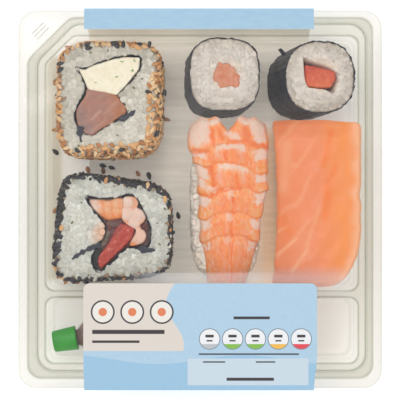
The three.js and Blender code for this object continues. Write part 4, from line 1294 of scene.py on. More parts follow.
def band(path, thickness, low, high, wobble, seed, levels=8, closed=True, dips=(), uneven=0.0,
         ragged_top=0.3):
    """A standing sheet along a path, gently wrinkled, with a closed surface and a ragged top edge."""
    sunk = rice_overlap(path, dips) if dips else 0.0
    normals = side_normals(path, closed)
    path = path + normals * (uneven * rough(at_height(path, 70.0), 0.9, seed))[:, None]
    count = len(path)
    top = high + ragged_top * rough(at_height(path, 50.0), 1.6, seed) - sunk
    half = thickness / 2 * np.clip(1 + 1.4 * rough(at_height(path, 20.0), 1.8, seed), 0.45, 1.8)
    if not closed:
        half *= 0.25 + 0.75 * np.sqrt(1 - np.linspace(0, 1, count) ** 3)
    outer, inner = [], []
    for share in np.linspace(0, 1, levels):
        z = low + (top - low) * share
        wave = wobble * rough(np.column_stack([path, z]), 3.2, seed)
        outer.append(np.column_stack([path + normals * (half + wave)[:, None], z]))
        inner.append(np.column_stack([path + normals * (wave - half)[:, None], z]))
    points, faces = lofted([*outer, *inner[::-1], outer[0]], closed)
    if not closed:
        faces += [tuple(row * count + column for row in range(2 * levels)) for column in (0, count - 1)]
    return points, faces


def make_roll_nori(name, roll, loop, tails, seed, replaces, dips):
    height = roll["height"] - 0.1
    parts = [band(smooth_loop(loop, 320), NORI, 0.1, height, 0.15, seed, dips=dips, uneven=0.45)]
    for start, end, thickness in tails:
        line = even(np.array([start, end]), 24, closed=False)
        bow = 0.5 * np.sin(np.linspace(0, math.pi, 24))
        line = line + side_normals(line, closed=False) * bow[:, None]
        parts.append(band(line, thickness, 0.1, height + 0.25, 0.1, seed + 3, closed=False, uneven=0.25,
                          ragged_top=0.1))
    points, faces = join(parts)
    points[:, 2] += FOOD_BASE
    piece(name, points, faces, [nori_paint], "nori", replaces, sharp=50)


def add_bar(name, outline, low, high, material, slot, replaces, rim, relief, seed, size=1.4, slope=(0.0, 0.0),
            within=None, lobes=(), shape=None):
    """A filling that runs through a roll, inside the seaweed round it; its cut end is uneven and rounded."""
    if within is not None:
        outline = kept(outline, offset_loop(smooth_loop(within, 180), -(NORI / 2 + 0.08)), within=True)

    def tip(points):
        return np.minimum((points - outline.mean(0)) @ np.array(slope), 0.4)

    top, top_faces = fill(outline, spacing=0.35)
    away = np.clip(edge_distance(top[:, :2], outline) / rim, 0, 1)
    top[:, 2] = high - rim * (1 - np.sqrt(1 - (1 - away) ** 2)) + tip(top[:, :2])
    top[:, 2] += relief * away * (rough(top, size, seed) + 0.4 * rough(top, 0.4 * size, seed))
    if lobes:
        apart, _ = lobe_distances(top, lobes)
        top[:, 2] -= away * np.minimum(apart, 1.1) ** 2
    wall = lofted([
        at_height(outline, low), at_height(outline, (low + high) / 2),
        np.column_stack([outline, high - rim + tip(outline)]),
    ])
    points, faces = join([wall, (top, top_faces), fill(outline, z=low)])
    return piece(name, shape(points) if shape else points, faces, [material], slot, replaces, weld=0.01)


def polygon(points, count, corner=0.35):
    """A closed outline with straight sides and slightly rounded corners."""
    p = np.asarray(points, float)
    cut = []
    for before, here, after in zip(np.roll(p, 1, axis=0), p, np.roll(p, -1, axis=0)):
        for other in (before, after):
            way = other - here
            cut.append(here + way * min(corner / np.linalg.norm(way), 0.45))
    return anticlockwise(even(np.array(cut), count))


SALMON_FLAKES = [
    ((-36.3, 32.5), (-39.5, 29.1), 0.45, 0.7), ((-41.0, 38.6), (-44.6, 33.4), 0.5, 0.4),
    ((-30.4, 35.4), (-34.6, 31.6), 0.6, 0.35), ((-35.4, 28.2), (-39.6, 24.8), 0.5, 0.4),
]


def make_sesame_roll():
    roll, nori = SESAME_ROLL, SESAME_ROLL_NORI
    rims = roll_rims(roll, 1.5, [(-45, 3.1, -0.1)])
    over = roll_rims(roll, -0.5, [(-45, 0.8, -0.1)])
    low, top = FOOD_BASE + 0.1, FOOD_BASE + roll["height"]
    make_roll_core("sesame_roll_core", roll, nori, rims, warm_rice_paint, ["sesame_roll_rice"])
    make_roll_grains("sesame_roll_grains", roll, nori, rims, warm_rice_paint, 21, SESAME_ROLL_DIPS)
    make_roll_seeds("sesame_roll_seeds", roll, rims, black_share=0.06, distance=1.4, over=over, seed=22)
    make_roll_nori("sesame_roll_seaweed", roll, nori, SESAME_ROLL_TAILS, 1.0, ["sesame_roll_nori"],
                   SESAME_ROLL_DIPS)
    add_bar("sesame_roll_cheese", ragged(polygon(CREAM_CHEESE, 200), 1.1, 0.3, 3.0), low, top - 0.1,
            cream_cheese_material(), "cream_cheese", ["sesame_roll_cream_cheese"], rim=0.4, relief=0.4,
            seed=3.0, within=nori)
    outline = polygon(ROLL_SALMON, 130, 0.8)
    fish = add_bar("sesame_roll_fish", outline, low, top - 0.35, fish_paint, "cooked_salmon",
                   ["sesame_roll_salmon"], rim=0.5, relief=0.4, seed=5.0, size=3.0, within=nori)
    points = millimetres(fish)
    flakes = streak(points + 0.5 * rough(points, 2.0)[:, None], SALMON_FLAKES, 2)
    grey = smooth_step(-37.0, -42.5, points[:, 0] + 0.7 * (points[:, 1] - 29) + 1.5 * rough(points, 3.0))
    rim = smooth_step(1.1, 0.0, edge_distance(points[:, :2], outline))
    warm = smooth_step(-35.5, -28.5, points[:, 0] + rough(points, 2.5))
    mark(fish, pale=0.9 * grey + 0.3 * rough(points, 1.2), light=flakes,
         deep=0.5 * rim + 0.8 * warm + 0.3 * rough(points, 3.0))


PRAWN_LOBES = [
    (-26.7, -0.9, 2.4), (-26.7, -5.2, 2.5), (-22.3, -5.4, 2.7), (-24.2, -8.6, 2.2), (-22.3, -13.6, 3.2),
]
BED_PALE = [((-33.6, -12.2), (-36.0, -17.2), 0.8, 0.9), ((-33.4, -8.6), (-30.8, -9.2), 0.8, 0.35)]
LEFT_PRAWN_BANDS = [
    ((-36.0, -1.2), (-35.2, -5.0), 0.8, 0.7), ((-32.6, -0.6), (-31.8, -6.4), 0.7, 0.6),
    ((-29.4, -0.2), (-29.2, -5.6), 0.5, 0.7),
]


def lobe_distances(points, lobes):
    """Distance from the nearest lobe's centre, as a share of its radius, and which lobe it is."""
    shares = np.array([np.hypot(points[:, 0] - x, points[:, 1] - y) / radius for x, y, radius in lobes])
    return shares.min(axis=0), shares.argmin(axis=0)


def make_black_sesame_roll():
    roll, nori = BLACK_SESAME_ROLL, BLACK_SESAME_ROLL_NORI
    rims = roll_rims(roll, 0.9, [(170, 1.1, 0.75), (75, 0.8, 0.5)])
    over = roll_rims(roll, -0.5, [(170, 0.7, 0.7), (75, 0.5, 0.5)])
    low, top = FOOD_BASE + 0.1, FOOD_BASE + roll["height"]
    core = make_roll_core("black_roll_core", roll, nori, rims, rice_paint, ["black_sesame_roll_rice"])
    grains = make_roll_grains("black_roll_grains", roll, nori, rims, rice_paint, 31, BLACK_ROLL_DIPS)
    stain([core, grains], centre=(-35.2, -12.6), reach=6.6, strength=0.85)
    make_roll_seeds("black_roll_seeds", roll, rims, black_share=0.93, distance=1.25, over=over, seed=32)
    make_roll_nori("black_roll_seaweed", roll, nori, BLACK_SESAME_ROLL_TAILS, 9.0, ["black_sesame_roll_nori"],
                   BLACK_ROLL_DIPS)
    make_roll_shaded_bed(low, top - 2.4)
    make_roll_pepper(low, top - 0.5)
    make_left_prawn(low, top - 0.5)
    make_right_prawn(low, top - 0.1)


def make_roll_shaded_bed(low, high):
    """The dark floor between the black sesame roll's fillings: partly seaweed, and partly a dark sheet of
    painted shade where the cavity lies in shadow.
    """
    bed = offset_loop(smooth_loop(BLACK_SESAME_ROLL_NORI, 160), -(NORI / 2 + 0.05))
    floor = add_bar("black_roll_shaded_bed", bed, low, high, shaded_bed_paint, "nori", [], rim=0.4, relief=0.6, seed=8.0,
                    size=2.4)
    points = millimetres(floor)
    warped = points + 0.5 * rough(points, 1.6)[:, None]
    # painted shadow: nearly black in the gap left of the pepper, and darker round the bed's rim
    shadow_gap = smooth_step(-35.8, -36.8, warped[:, 0]) * smooth_step(-15.6, -17.4, warped[:, 1])
    rim = 0.8 * smooth_step(1.3, 0.2, edge_distance(points[:, :2], bed))
    mark(floor, pale=streak(warped, BED_PALE), deep=np.maximum(rim, shadow_gap))


def make_roll_pepper(low, high):
    outline = ragged(polygon(PEPPER_STRIP, 130, 0.2), 1.8, 0.35, 15.0)
    strip = add_bar("black_roll_pepper", outline, low, high, roll_pepper_paint, "red_pepper",
                    ["black_sesame_roll_pepper"], rim=0.35, relief=0.3, seed=7.0, slope=(-0.10, 0.06),
                    within=BLACK_SESAME_ROLL_NORI)
    points = millimetres(strip)
    across = points[:, 0] * 0.77 - points[:, 1] * 0.64
    # painted shade on one facet of the strip, and a painted highlight along the fold beside it
    shaded_facet = smooth_step(-14.6, -15.3, across + 0.25 * rough(points, 2.0))
    skin = smooth_step(0.5, 0.0, edge_distance(points[:, :2], outline))
    mark(strip, deep=0.6 * shaded_facet + 0.8 * skin + 0.3 * rough(points, 1.8),
         pale=0.6 * hump(across, -14.7, 0.4) + 0.3 * rough(points, 2.6, 2.0))


def make_left_prawn(low, high):
    outline = smooth_loop(LEFT_PRAWN, 110)
    left = add_bar("black_roll_prawn_left", outline, low, high, roll_prawn_paint, "prawn",
                   ["black_sesame_roll_prawn_left"], rim=1.5, relief=0.9, seed=11.0, size=2.6,
                   within=BLACK_SESAME_ROLL_NORI)
    points = millimetres(left)
    west = smooth_step(-35.6, -38.6, points[:, 0] + 0.8 * rough(points, 1.6))
    south = smooth_step(-4.2, -6.6, points[:, 1] + rough(points, 1.6)) + streak(points, LEFT_PRAWN_BANDS)
    mark(left, pale=west + 0.35 * rough(points, 1.3, 3.0),
         deep=0.8 * south * (1 - 0.7 * west) + 0.3 * rough(points, 1.6))


def make_right_prawn(low, high):
    """The curled prawn on the right, in lobes with creases between them."""
    outline = smooth_loop(RIGHT_PRAWN, 140)
    right = add_bar("black_roll_prawn_right", outline, low, high, roll_prawn_paint, "prawn",
                    ["black_sesame_roll_prawn_right"], rim=0.9, relief=0.2, seed=12.0,
                    within=BLACK_SESAME_ROLL_NORI, lobes=PRAWN_LOBES)
    points = millimetres(right)
    apart, nearest = lobe_distances(points, PRAWN_LOBES)
    crease = smooth_step(0.75, 1.15, apart)
    low_lobe = nearest == len(PRAWN_LOBES) - 1
    foot = smooth_step(-15.2, -16.4, points[:, 1] + 0.4 * rough(points, 1.2))
    foot *= smooth_step(-22.4, -24.0, points[:, 0])
    mark(right, pale=(0.95 - 0.55 * crease) * (1 - 0.35 * low_lobe) + 0.25 * rough(points, 1.3, 5.0),
         deep=0.9 * foot + 0.35 * crease * (1 - low_lobe) + 0.2 * rough(points, 1.8, 9.0))


# ---- Small maki ---------------------------------------------------------------------------------


def make_maki(prefix, roll, hollow, seed, stained, reach):
    """The nori wall, the rice core and its grains of a small maki, all leaning as one."""
    def lean(points):
        return lean_over(roll, points)

    def painted_shading(points):
        """How much painted shade darkens the rice: along the rim, towards the front and in soft patches."""
        rim = 0.3 * smooth_step(3.4, 0.4, edge_distance(points[:, :2], outline))
        return rim + 0.2 * smooth_step(-4.0, -12.0, points[:, 1]) + 0.12 * rough(points, 4.0, seed)

    def trimmed(points):
        cut = height - 0.12 + 0.1 * rough(points * [1.0, 1.0, 0.0], 2.6)
        points[:, 2] = np.clip(points[:, 2], 0.12, cut)
        apart = np.linalg.norm(points[:, :2], axis=1)
        angle = np.arctan2(points[:, 1], points[:, 0])
        limit = np.linalg.norm(roll_point(roll, angle), axis=1) - NORI - 0.15
        points[:, :2] *= np.minimum(1, limit / np.maximum(apart, 1e-6))[:, None]
        return lean(kept(points, hollow, within=False))

    height = roll["height"]
    wall = roll_outline(roll, 180, NORI / 2 + 0.05)
    points, faces = band(wall, NORI, 0.1, height + 0.05, 0.34, seed, levels=14, uneven=0.4, ragged_top=0.4)
    piece(prefix + "_seaweed", lean(points), faces, [nori_paint], "nori", [prefix + "_nori"], sharp=50)
    outline = roll_outline(roll, shrink=NORI + 0.35)
    rings = [at_height(outline, 0.2), at_height(outline, height - 0.16)]
    points, faces = pressed_rice(rings, hollow, 1.0, 0.12, 2.0)
    core = piece(prefix + "_core", lean(points), faces, [maki_rice_paint], "maki_rice", [prefix + "_rice"],
                 weld=0.01)
    # the core takes the same painted shade as the grains
    mark(core, tone=0.68 - painted_shading(millimetres(core) - np.array([*roll["centre"], 0.0])))
    rng = np.random.default_rng(seed)
    flat = rng.uniform(-14, 14, (5000, 2))
    flat = flat[between_loops(flat, [outline, hollow])]
    flat = flat[edge_distance(flat, hollow) > 0.9]
    flat = flat[edge_distance(flat, outline) > 0.7]
    top, foot = at_height(flat, height + 0.5), at_height(flat[::2], 0.7)
    top, foot = top[spread_out(top, 1.4)], foot[spread_out(foot, 2.2)]
    spots, normals = np.vstack([top, foot]), np.vstack([upright(len(top)), upright(len(foot), -1.0)])
    grains = add_grains(prefix + "_grains", spots, normals, maki_rice_paint, "maki_rice", seed + 1, trimmed,
                        shade=painted_shading(spots), vary=0.07)
    stain([core, grains], stained, reach, strength=0.4)
    return lean


def stain(shapes, centre, reach, strength):
    """Marks rice near a filling, which its juice colours."""
    for shape in shapes:
        points = millimetres(shape)
        apart = np.hypot(points[:, 0] - centre[0], points[:, 1] - centre[1])
        mark(shape, stain=strength * smooth_step(reach, 0.1 * reach, apart + 1.6 * rough(points, 2.0)))


PEPPER_HOLLOW = [
    (-6.4, 8.2), (-3.6, 6.4), (4.6, 3.6), (7.2, 1.0), (6.6, -2.4), (5.2, -6.4), (2.0, -4.6), (-4.6, -3.9),
    (-5.7, -1.0), (-6.0, 3.2),
]
MAKI_PEPPER = [
    (5.9, 2.4), (0.6, 3.6), (-4.9, 4.7), (-5.3, 1.0), (-4.7, -3.3), (0.4, -3.8), (4.4, -3.6), (6.3, -0.4),
]
MAKI_SALMON = [
    (-2.4, 4.7), (-1.1, 4.0), (1.4, 4.1), (2.0, 3.1), (3.7, 2.3), (4.2, 0.5), (5.3, 0.2), (5.0, -2.2),
    (5.3, -4.3), (3.6, -4.7), (2.0, -3.8), (0.6, -4.2), (-0.7, -5.2), (-2.2, -4.8), (-2.5, -2.9),
    (-4.2, -2.2), (-4.0, 0.2), (-3.2, 2.0),
]


def make_salmon_maki():
    star = ragged(offset_loop(polygon(MAKI_SALMON, 190, 0.4), 0.3), 0.9, 0.6, 13.0)
    lean = make_maki("salmon_maki", SALMON_MAKI, star, seed=41, stained=SALMON_MAKI["centre"], reach=8.0)
    fish = add_bar("salmon_maki_fish", star, 0.1, SALMON_MAKI["height"] - 0.05, maki_fish_paint,
                   "maki_salmon", ["salmon_maki_salmon"], rim=0.25, relief=0.3, seed=13.0, shape=lean)
    points = millimetres(fish)
    mark(fish, pale=0.6 * rough(points, 1.4) + 0.15, deep=0.8 * rough(points, 2.2, 3.0))


def make_pepper_maki():
    hollow = polygon(PEPPER_HOLLOW, 110, 0.6)
    lean = make_maki("pepper_maki", PEPPER_MAKI, hollow, seed=51, stained=(44.2, 46.0), reach=9.0)
    outline = ragged(polygon(MAKI_PEPPER, 130, 0.3), 1.2, 0.25, 17.0)
    strip = add_bar("pepper_maki_strip", outline, 0.1, PEPPER_MAKI["height"] - 0.9, maki_pepper_paint,
                    "red_pepper", ["pepper_maki_pepper"], rim=0.3, relief=0.3, seed=17.0,
                    slope=(0.0, -0.05), shape=lean)
    points = millimetres(strip)
    ends = smooth_step(40.0, 37.5, points[:, 0]) + smooth_step(46.5, 48.5, points[:, 0])
    fall = points[:, 1] - 0.3 * points[:, 0]
    middle = fall.mean()
    mark(strip, deep=0.45 * rough(points, 2.0) + 0.4 * ends + 0.6 * smooth_step(middle, middle + 4.0, fall),
         pale=0.5 * rough(points, 1.0, 4.0) + 0.8 * smooth_step(middle, middle - 4.0, fall))
    tag = even(np.array([(-12.6, 8.2), (-14.4, 10.4)]), 6, closed=False)
    points, faces = band(tag, NORI, 16.4, PEPPER_MAKI["height"], 0.1, 3.0, levels=5, closed=False)
    piece("pepper_maki_tag", lean(points), faces, [nori_paint], "nori", sharp=50)


# ---- Nigiri -------------------------------------------------------------------------------------


def sheet_grid(across, length):
    """Where the points of a grid lie: from -1 to 1 across it and from 0 to 1 down it."""
    u, v = np.meshgrid(np.linspace(-1, 1, across), np.linspace(0, 1, length))
    return u.ravel(), v.ravel()


def slice_of(name, x, y, top, thick, across, paint, slot, replaces, marks):
    """A slice with a top and an underside this far below it, and its marks on both."""
    sides = [np.column_stack([x, y, level]) for level in (top, top - thick)]
    shape = piece(name, *closed_slab(*sides, across), [paint], slot, replaces, weld=0)
    mark(shape, **{layer: np.tile(values, 2) for layer, values in marks.items()})


def prawn_tiles(x, y):
    """Where a point of the prawn is on its tiles: the tile's number and its share down the tile."""
    reach = np.abs(x) / 9.0
    arch = 0.9 * np.cos(np.clip(x / 5.0, -math.pi, math.pi)) - 1.5 * smooth_step(0.5, 1.0, reach)
    arch += 1.3 * smooth_step(1.05, 1.45, reach)
    stops = [PRAWN["head"] + 6.0, *PRAWN["segments"], PRAWN["tail"] - 3.0]
    stops[1] -= 0.7
    slants = (0.05, -0.14, 0.06, 0.03, 0.02)
    lines = [np.full(len(x), stop) for stop in stops]
    tile = np.zeros(len(x), int)
    for i, slant in enumerate(slants, 1):
        lines[i] += slant * x + arch
        tile[y < lines[i]] = i
    stack, column = np.array(lines), np.arange(len(x))
    upper, lower = stack[tile, column], stack[tile + 1, column]
    return tile, np.clip((upper - y) / (upper - lower), 0, 1)


def make_prawn():
    """The butterflied cooked prawn: overlapping tiles with pale arcs, orange bands and a red vein."""
    across = 84
    u, v = sheet_grid(across, 190)
    body = spline(PRAWN["half_width"], v)
    notch = np.maximum(0, 1 - np.abs(body * u) / PRAWN["notch_half_width"])
    y = PRAWN["head"] + (PRAWN["tail"] - PRAWN["head"]) * v - PRAWN["notch_depth"] * notch * (1 - v) ** 6
    y = y - (1 - v) ** 8 * (2.6 * np.abs(u) ** 8 + 0.8 * np.sin(9 * u) ** 2)
    tile, share = prawn_tiles(body * u, y)
    tiled = tile > 0
    tip = np.where(tiled, smooth_step(0.35, 0.95, share) - 1.3 * smooth_step(0.95, 1.0, share), 0.2)
    fringe = rough(np.column_stack([np.sign(u) * 40, y, 0 * y]), 2.4, 5.0)
    reach = body - 0.2 + 0.6 * tip * (0.75 + 0.25 * np.sin(3 * tile + 2 * np.sign(u))) + 0.35 * fringe
    x = spline(PRAWN["middle"], v) + u * reach
    edge = np.abs(u) ** PRAWN["sag_power"]
    step = np.where(tiled, 0.45 * smooth_step(0.0, 0.35, share) - 0.3 * smooth_step(0.9, 1.0, share), 0.3)
    saddle = 0.5 * np.exp(-((body * u / 3.0) ** 2))
    valley = 0.55 * np.exp(-(((body * u - 0.5) / 0.8) ** 2)) * smooth_step(12, 2, y)
    top = spline(PRAWN["crown"], v) + step - PRAWN["sag"] * edge + saddle - valley
    surface = np.column_stack([x, y, top])
    rim = smooth_step(0.93, 1.0, np.abs(u)) + smooth_step(0.03, 0.0, v) + smooth_step(0.985, 1.0, v)
    rim = np.clip(rim, 0, 1)
    top = top + 0.16 * rough(surface, 1.6, stretch=(1.0, 2.0, 1.0)) + 0.12 * rough(surface, 0.7) - 0.9 * rim
    thick = PRAWN["thickness"] + (PRAWN["rim"] - PRAWN["thickness"]) * edge + step
    marks = prawn_marks(u, body * u, tile, share, surface)
    slice_of("prawn", x, y, top, thick * (1 - 0.25 * rim), across, prawn_paint, "prawn",
             ["prawn_nigiri_prawn"], marks)


PRAWN_HEAD_PALE = [
    ((-1.8, 28.0), (-1.5, 21.8), 3.4, 1.0), ((1.2, 28.0), (0.8, 22.6), 2.6, 1.0),
    ((21.6, 28.0), (21.8, 22.6), 2.6, 0.95), ((19.2, 28.4), (19.8, 24.4), 1.4, 0.9),
    ((6.6, 29.0), (4.2, 28.0), 1.3, 0.9), ((15.2, 28.8), (17.4, 28.2), 1.5, 0.9),
    ((10.2, 23.8), (13.0, 22.8), 1.5, 0.8),
]
PRAWN_HEAD_DEEP = [
    ((4.4, 25.6), (4.6, 20.4), 0.85, 0.95), ((6.8, 25.2), (8.2, 22.2), 1.3, 0.65),
    ((16.6, 25.8), (16.8, 21.4), 1.5, 0.7), ((10.4, 20.9), (17.6, 21.5), 0.6, 0.9),
    ((-2.5, 17.5), (2.4, 17.8), 1.0, 0.75), ((18.4, 20.2), (24.6, 18.8), 1.1, 0.85),
]
PRAWN_BODY_DEEP = [
    ((9.4, 17.4), (9.4, 14.6), 0.95, 1.0), ((12.0, 16.6), (15.2, 15.0), 1.7, 0.5),
    ((3.8, 11.4), (4.6, 7.6), 1.1, 0.85), ((4.6, 7.6), (5.4, 5.0), 0.8, 1.0),
    ((13.3, 9.2), (13.4, 5.6), 0.7, 0.85), ((8.0, 8.8), (9.4, 5.6), 1.5, 0.4),
    ((12.0, 0.8), (12.1, -4.8), 0.55, 0.95), ((9.0, 0.6), (9.1, -4.4), 0.8, 0.6),
    ((11.3, -8.2), (11.3, -13.6), 0.55, 0.95), ((9.1, -9.0), (9.1, -13.4), 0.7, 0.6),
]
PRAWN_FLAP = [
    ((-1.2, 2.4), (1.6, 1.8), 0.5, 0.8), ((1.6, 1.8), (3.3, 0.7), 0.5, 0.9),
    ((3.3, 0.7), (7.2, 2.9), 0.5, 0.95), ((7.2, 2.9), (15.2, 3.9), 0.55, 0.9),
]
PRAWN_FOLD_TAN = [((-1.4, 11.2), (2.4, 8.4), 1.5, 0.9), ((2.4, 8.4), (4.4, 5.8), 1.1, 0.8)]
PRAWN_FOLD_PALE = [((-2.0, 8.4), (0.6, 5.8), 1.4, 1.0), ((1.6, 4.2), (5.6, 3.4), 1.1, 0.75)]


def strongest(*marks):
    return np.maximum.reduce(marks)


def hump(values, middle, width):
    """A soft ridge round a middle value, 1 at its top."""
    return np.exp(-(((values - middle) / width) ** 2))


def prawn_marks(u, x, tile, share, surface):
    """The prawn's marks at each point, from where it is on its tile: pale, deep orange and tan."""
    y = surface[:, 1]
    warped = surface.copy()
    warped[:, 0] += 0.8 * rough(surface, 1.7, 21.0) + 0.4 * rough(surface, 0.6, 22.0)
    warped[:, 1] += 0.8 * rough(surface, 1.7, 23.0) + 0.5 * rough(surface, 0.6, 24.0)
    grain = rough(surface, 0.7, 4.0, (1.0, 1.6, 1.0))
    side = np.abs(u) + 0.10 * rough(surface, 1.5, 25.0) + 0.05 * rough(surface, 0.6, 28.0)
    down = share + 0.12 * rough(surface, 1.8, 26.0) + 0.06 * rough(surface, 0.6, 27.0)
    down *= np.where(tile == 5, 3.4, 1.0)
    body = (tile > 0).astype(float)
    below_line = body * smooth_step(0.0, 0.05, down)
    patch = smooth_step(0.60, 0.70, side) * below_line * smooth_step(0.52, 0.36, down)
    arc = smooth_step(5.8, 5.0, np.abs(x - 0.5)) * below_line * smooth_step(0.34, 0.22, down) * (tile < 3)
    frame = (hump(x, -4.6, 0.9) + hump(x, 4.0, 0.9)) * body * (tile < 3)
    frame *= smooth_step(0.1, 0.2, down) * smooth_step(0.95, 0.6, down)
    ridge = smooth_step(1.6, 0.8, np.abs(x + 0.6)) * below_line * smooth_step(0.5, 0.3, down) * (tile > 2)
    tail = smooth_step(-8.0, -17.0, y)
    ribs = rough(surface, 0.9, 12.0, (0.9, 12.0, 1.0))
    mottle = smooth_step(0.05, 0.4, rough(surface, 1.3, 33.0, (0.7, 1.7, 1.0)))
    pale = strongest(
        streak(warped, PRAWN_HEAD_PALE), streak(warped, PRAWN_FOLD_PALE), 0.95 * patch, 0.85 * arc,
        0.65 * frame, 0.55 * ridge, 0.34 * body * mottle, 0.3 * tail * smooth_step(0.1, -0.4, ribs),
        0.5 * smooth_step(-25.0, -31.0, y),
    )
    seam = smooth_step(0.9, 0.96, share) * smooth_step(1.0, 0.985, share) * body
    deep = strongest(
        streak(warped, PRAWN_HEAD_DEEP), streak(warped, PRAWN_BODY_DEEP), streak(warped, PRAWN_FLAP),
        0.7 * seam * (0.8 + 0.8 * grain), 0.35 * tail * smooth_step(-0.1, 0.4, ribs),
        0.35 * body * smooth_step(0.3, 0.5, down) * smooth_step(0.62, 0.5, side),
    )
    hem = smooth_step(0.58, 0.72, side) * smooth_step(0.5, 0.66, down) * body * (tile < 5)
    cuff = smooth_step(20.4, 18.6, y) * smooth_step(16.6, 17.6, y) * smooth_step(0.45, 0.7, side)
    amber = 0.6 * body * smooth_step(0.1, 0.4, rough(surface, 2.0, 35.0)) * (1 - tail)
    tan = strongest(streak(warped, PRAWN_FOLD_TAN), 0.5 * strongest(hem, cuff) * (1 + grain), amber)
    vein = hump(x, 1.2 + 0.3 * np.sin(0.4 * y), 0.28) * smooth_step(-14.8, -16.4, y)
    pale = (pale + 0.35 * grain) * (1 - 0.8 * streak(warped, PRAWN_FLAP)) * (1 - vein)
    return {"pale": pale, "deep": strongest(deep + 0.3 * grain * (1 - pale), vein), "tan": tan + 0.2 * grain}


SALMON_CORNER = 22.0  # how far up the slice its round corner starts
SALMON_DARK = [
    ((47.6, 24.6), (44.6, 12.2), 1.1, 0.9), ((49.2, 11.6), (46.6, 6.4), 1.2, 0.7),
    ((46.4, 6.4), (45.4, -6.6), 1.6, 0.8), ((30.0, -8.0), (33.0, -12.0), 2.4, 0.5),
]
SALMON_PALE = [
    ((27.4, -12.4), (31.8, -9.8), 0.5, 0.8), ((27.8, -20.6), (34.8, -14.4), 0.55, 0.85),
    ((33.6, -26.0), (38.8, -18.4), 0.7, 0.6), ((38.6, -17.0), (43.4, -2.6), 0.9, 0.35),
    ((30.2, 14.0), (35.0, 12.0), 0.9, 0.4), ((31.4, 20.0), (30.2, 4.0), 2.2, 0.5),
]


def make_salmon():
    """The slice of smoked salmon: draped over the rice, with fat lines and a thin right edge."""
    across = 80
    u, v = sheet_grid(across, 130)
    y = SALMON["back"] + (SALMON["front"] - SALMON["back"]) * v
    down = np.column_stack([0 * y, y, 0 * y])
    past = np.clip((SALMON["front"] + SALMON_CORNER - y) / SALMON_CORNER, 0, 1)
    start = np.clip((y - SALMON["back"] + 3.5) / 3.5, 0, 1)
    lead = 1 - np.sqrt(1 - start**2)
    trim = SALMON["corner_radius"] * (1 - np.sqrt(1 - past**2)) + 2.6 * lead
    wander = 0.35 * rough(down, 3.5, 2.0)
    left = SALMON["left"] + 1.7 * np.sin(math.pi * v) ** 0.8 + wander + 0.8 * lead
    jog = 0.5 * rough(down, 2.4, 7.0) + 0.5 * smooth_step(4.0, 1.0, np.abs(y - 1.5))
    right = SALMON["right"] - trim - 0.3 - np.abs(wander) - np.abs(jog)
    x = left + (right - left) * (u + 1) / 2
    y = y - 0.8 * smooth_step(0.2, 0.9, u) * (1 - v) ** 12
    y = y + 0.3 * rough(np.column_stack([x, 0 * x, 0 * x]), 6.0) * (1 - v)
    share = (x - SALMON["left"]) / (SALMON["right"] - SALMON["left"])
    end = smooth_step(SALMON["end_share"], 0, v) + smooth_step(1 - SALMON["end_share"], 1, v)
    inland = 1 - smooth_step(0.7, 0.9, share)
    edge = np.maximum(np.abs(u) ** 4, np.abs(2 * v - 1) ** 8)
    sway = SALMON["ripple"] * np.sin(9 * v) - SALMON["end_drop"] * end
    top = spline(SALMON["profile"], share) + sway * inland
    surface = np.column_stack([x, y, top])
    lines = np.sin((x * 0.62 - y * 0.5 + 2.0 * rough(surface, 9.0)) * 0.95)
    rim = smooth_step(0.94, 1.0, np.abs(u)) + smooth_step(0.03, 0, v) + smooth_step(0.97, 1.0, v)
    rim = np.clip(rim, 0, 1)
    top = top + 0.12 * lines * inland + 0.14 * rough(surface, 4.0) + 0.05 * rough(surface, 0.9) - 0.8 * rim
    thick = SALMON["thickness"] + (SALMON["rim"] - SALMON["thickness"]) * edge
    veil = rough(surface, 5.0, 6.0)
    # the paler left rim is partly the thin edge's own colour and partly painted light that lifts the shade on
    # its steep side
    pale = strongest(
        streak(surface, SALMON_PALE, 2), 0.30 * smooth_step(0.80, 1.0, lines) * smooth_step(0.62, 0.3, share),
        0.9 * smooth_step(0.60, 0.95, u + 0.10 * veil) ** 2, 0.7 * smooth_step(-0.95, -0.99, u),
    )
    marks = {"pale": pale, "deep": streak(surface, SALMON_DARK, 2) + 0.12 * veil,
             "warm": smooth_step(0.45, 0.8, share + 0.06 * veil)}
    slice_of("salmon_slice", x, y, top, thick * (1 - 0.3 * rim), across, salmon_paint, "salmon",
             ["salmon_nigiri_salmon"], marks)


def salmon_material():
    """Smoked salmon: pink on the left and amber on the right, with soft streaks."""
    p = Paint("salmon")
    base = p.mix(p.attribute("warm"), seen(240, 144, 100), seen(245, 150, 84))
    soft = p.noise(4.5, stretch=(1.0, 2.4, 1.0), distortion=0.6)
    body = p.mix(p.span(soft, 0.4, 0.75, 0.0, 0.4), base, seen(240, 152, 114))
    paler = p.mix(p.attribute("pale"), body, seen(246, 182, 142))
    deeper = p.mix(p.attribute("deep"), paler, seen(243, 132, 70))
    return p.flesh(deeper, 0.4, p.bump(p.noise(1.1, stretch=(1.0, 2.0, 1.0)), 0.08), (1.0, 0.4, 0.2))


def prawn_material():
    """Cooked prawn: pale flesh with orange bands; the marks say where."""
    p = Paint("prawn")
    fine = p.noise(0.8, detail=4.0, roughness=0.6, stretch=(1.0, 2.2, 1.0))
    colour = p.mix(p.span(fine, 0.35, 0.7), seen(252, 144, 84), seen(252, 176, 122))
    colour = p.mix(p.span(p.noise(2.0, detail=2.0), 0.52, 0.7, 0.0, 0.4), colour, seen(240, 184, 122))
    colour = p.mix(p.span(p.noise(2.8, distortion=0.5), 0.5, 0.3, 0.0, 0.4), colour, seen(240, 158, 132))
    for layer, over in (("tan", (242, 174, 112)), ("pale", (238, 208, 192)), ("deep", (243, 126, 74))):
        colour = p.mix(p.attribute(layer), colour, seen(*over))
    return p.flesh(colour, 0.36, p.bump(fine, 0.12), (1.0, 0.5, 0.3))


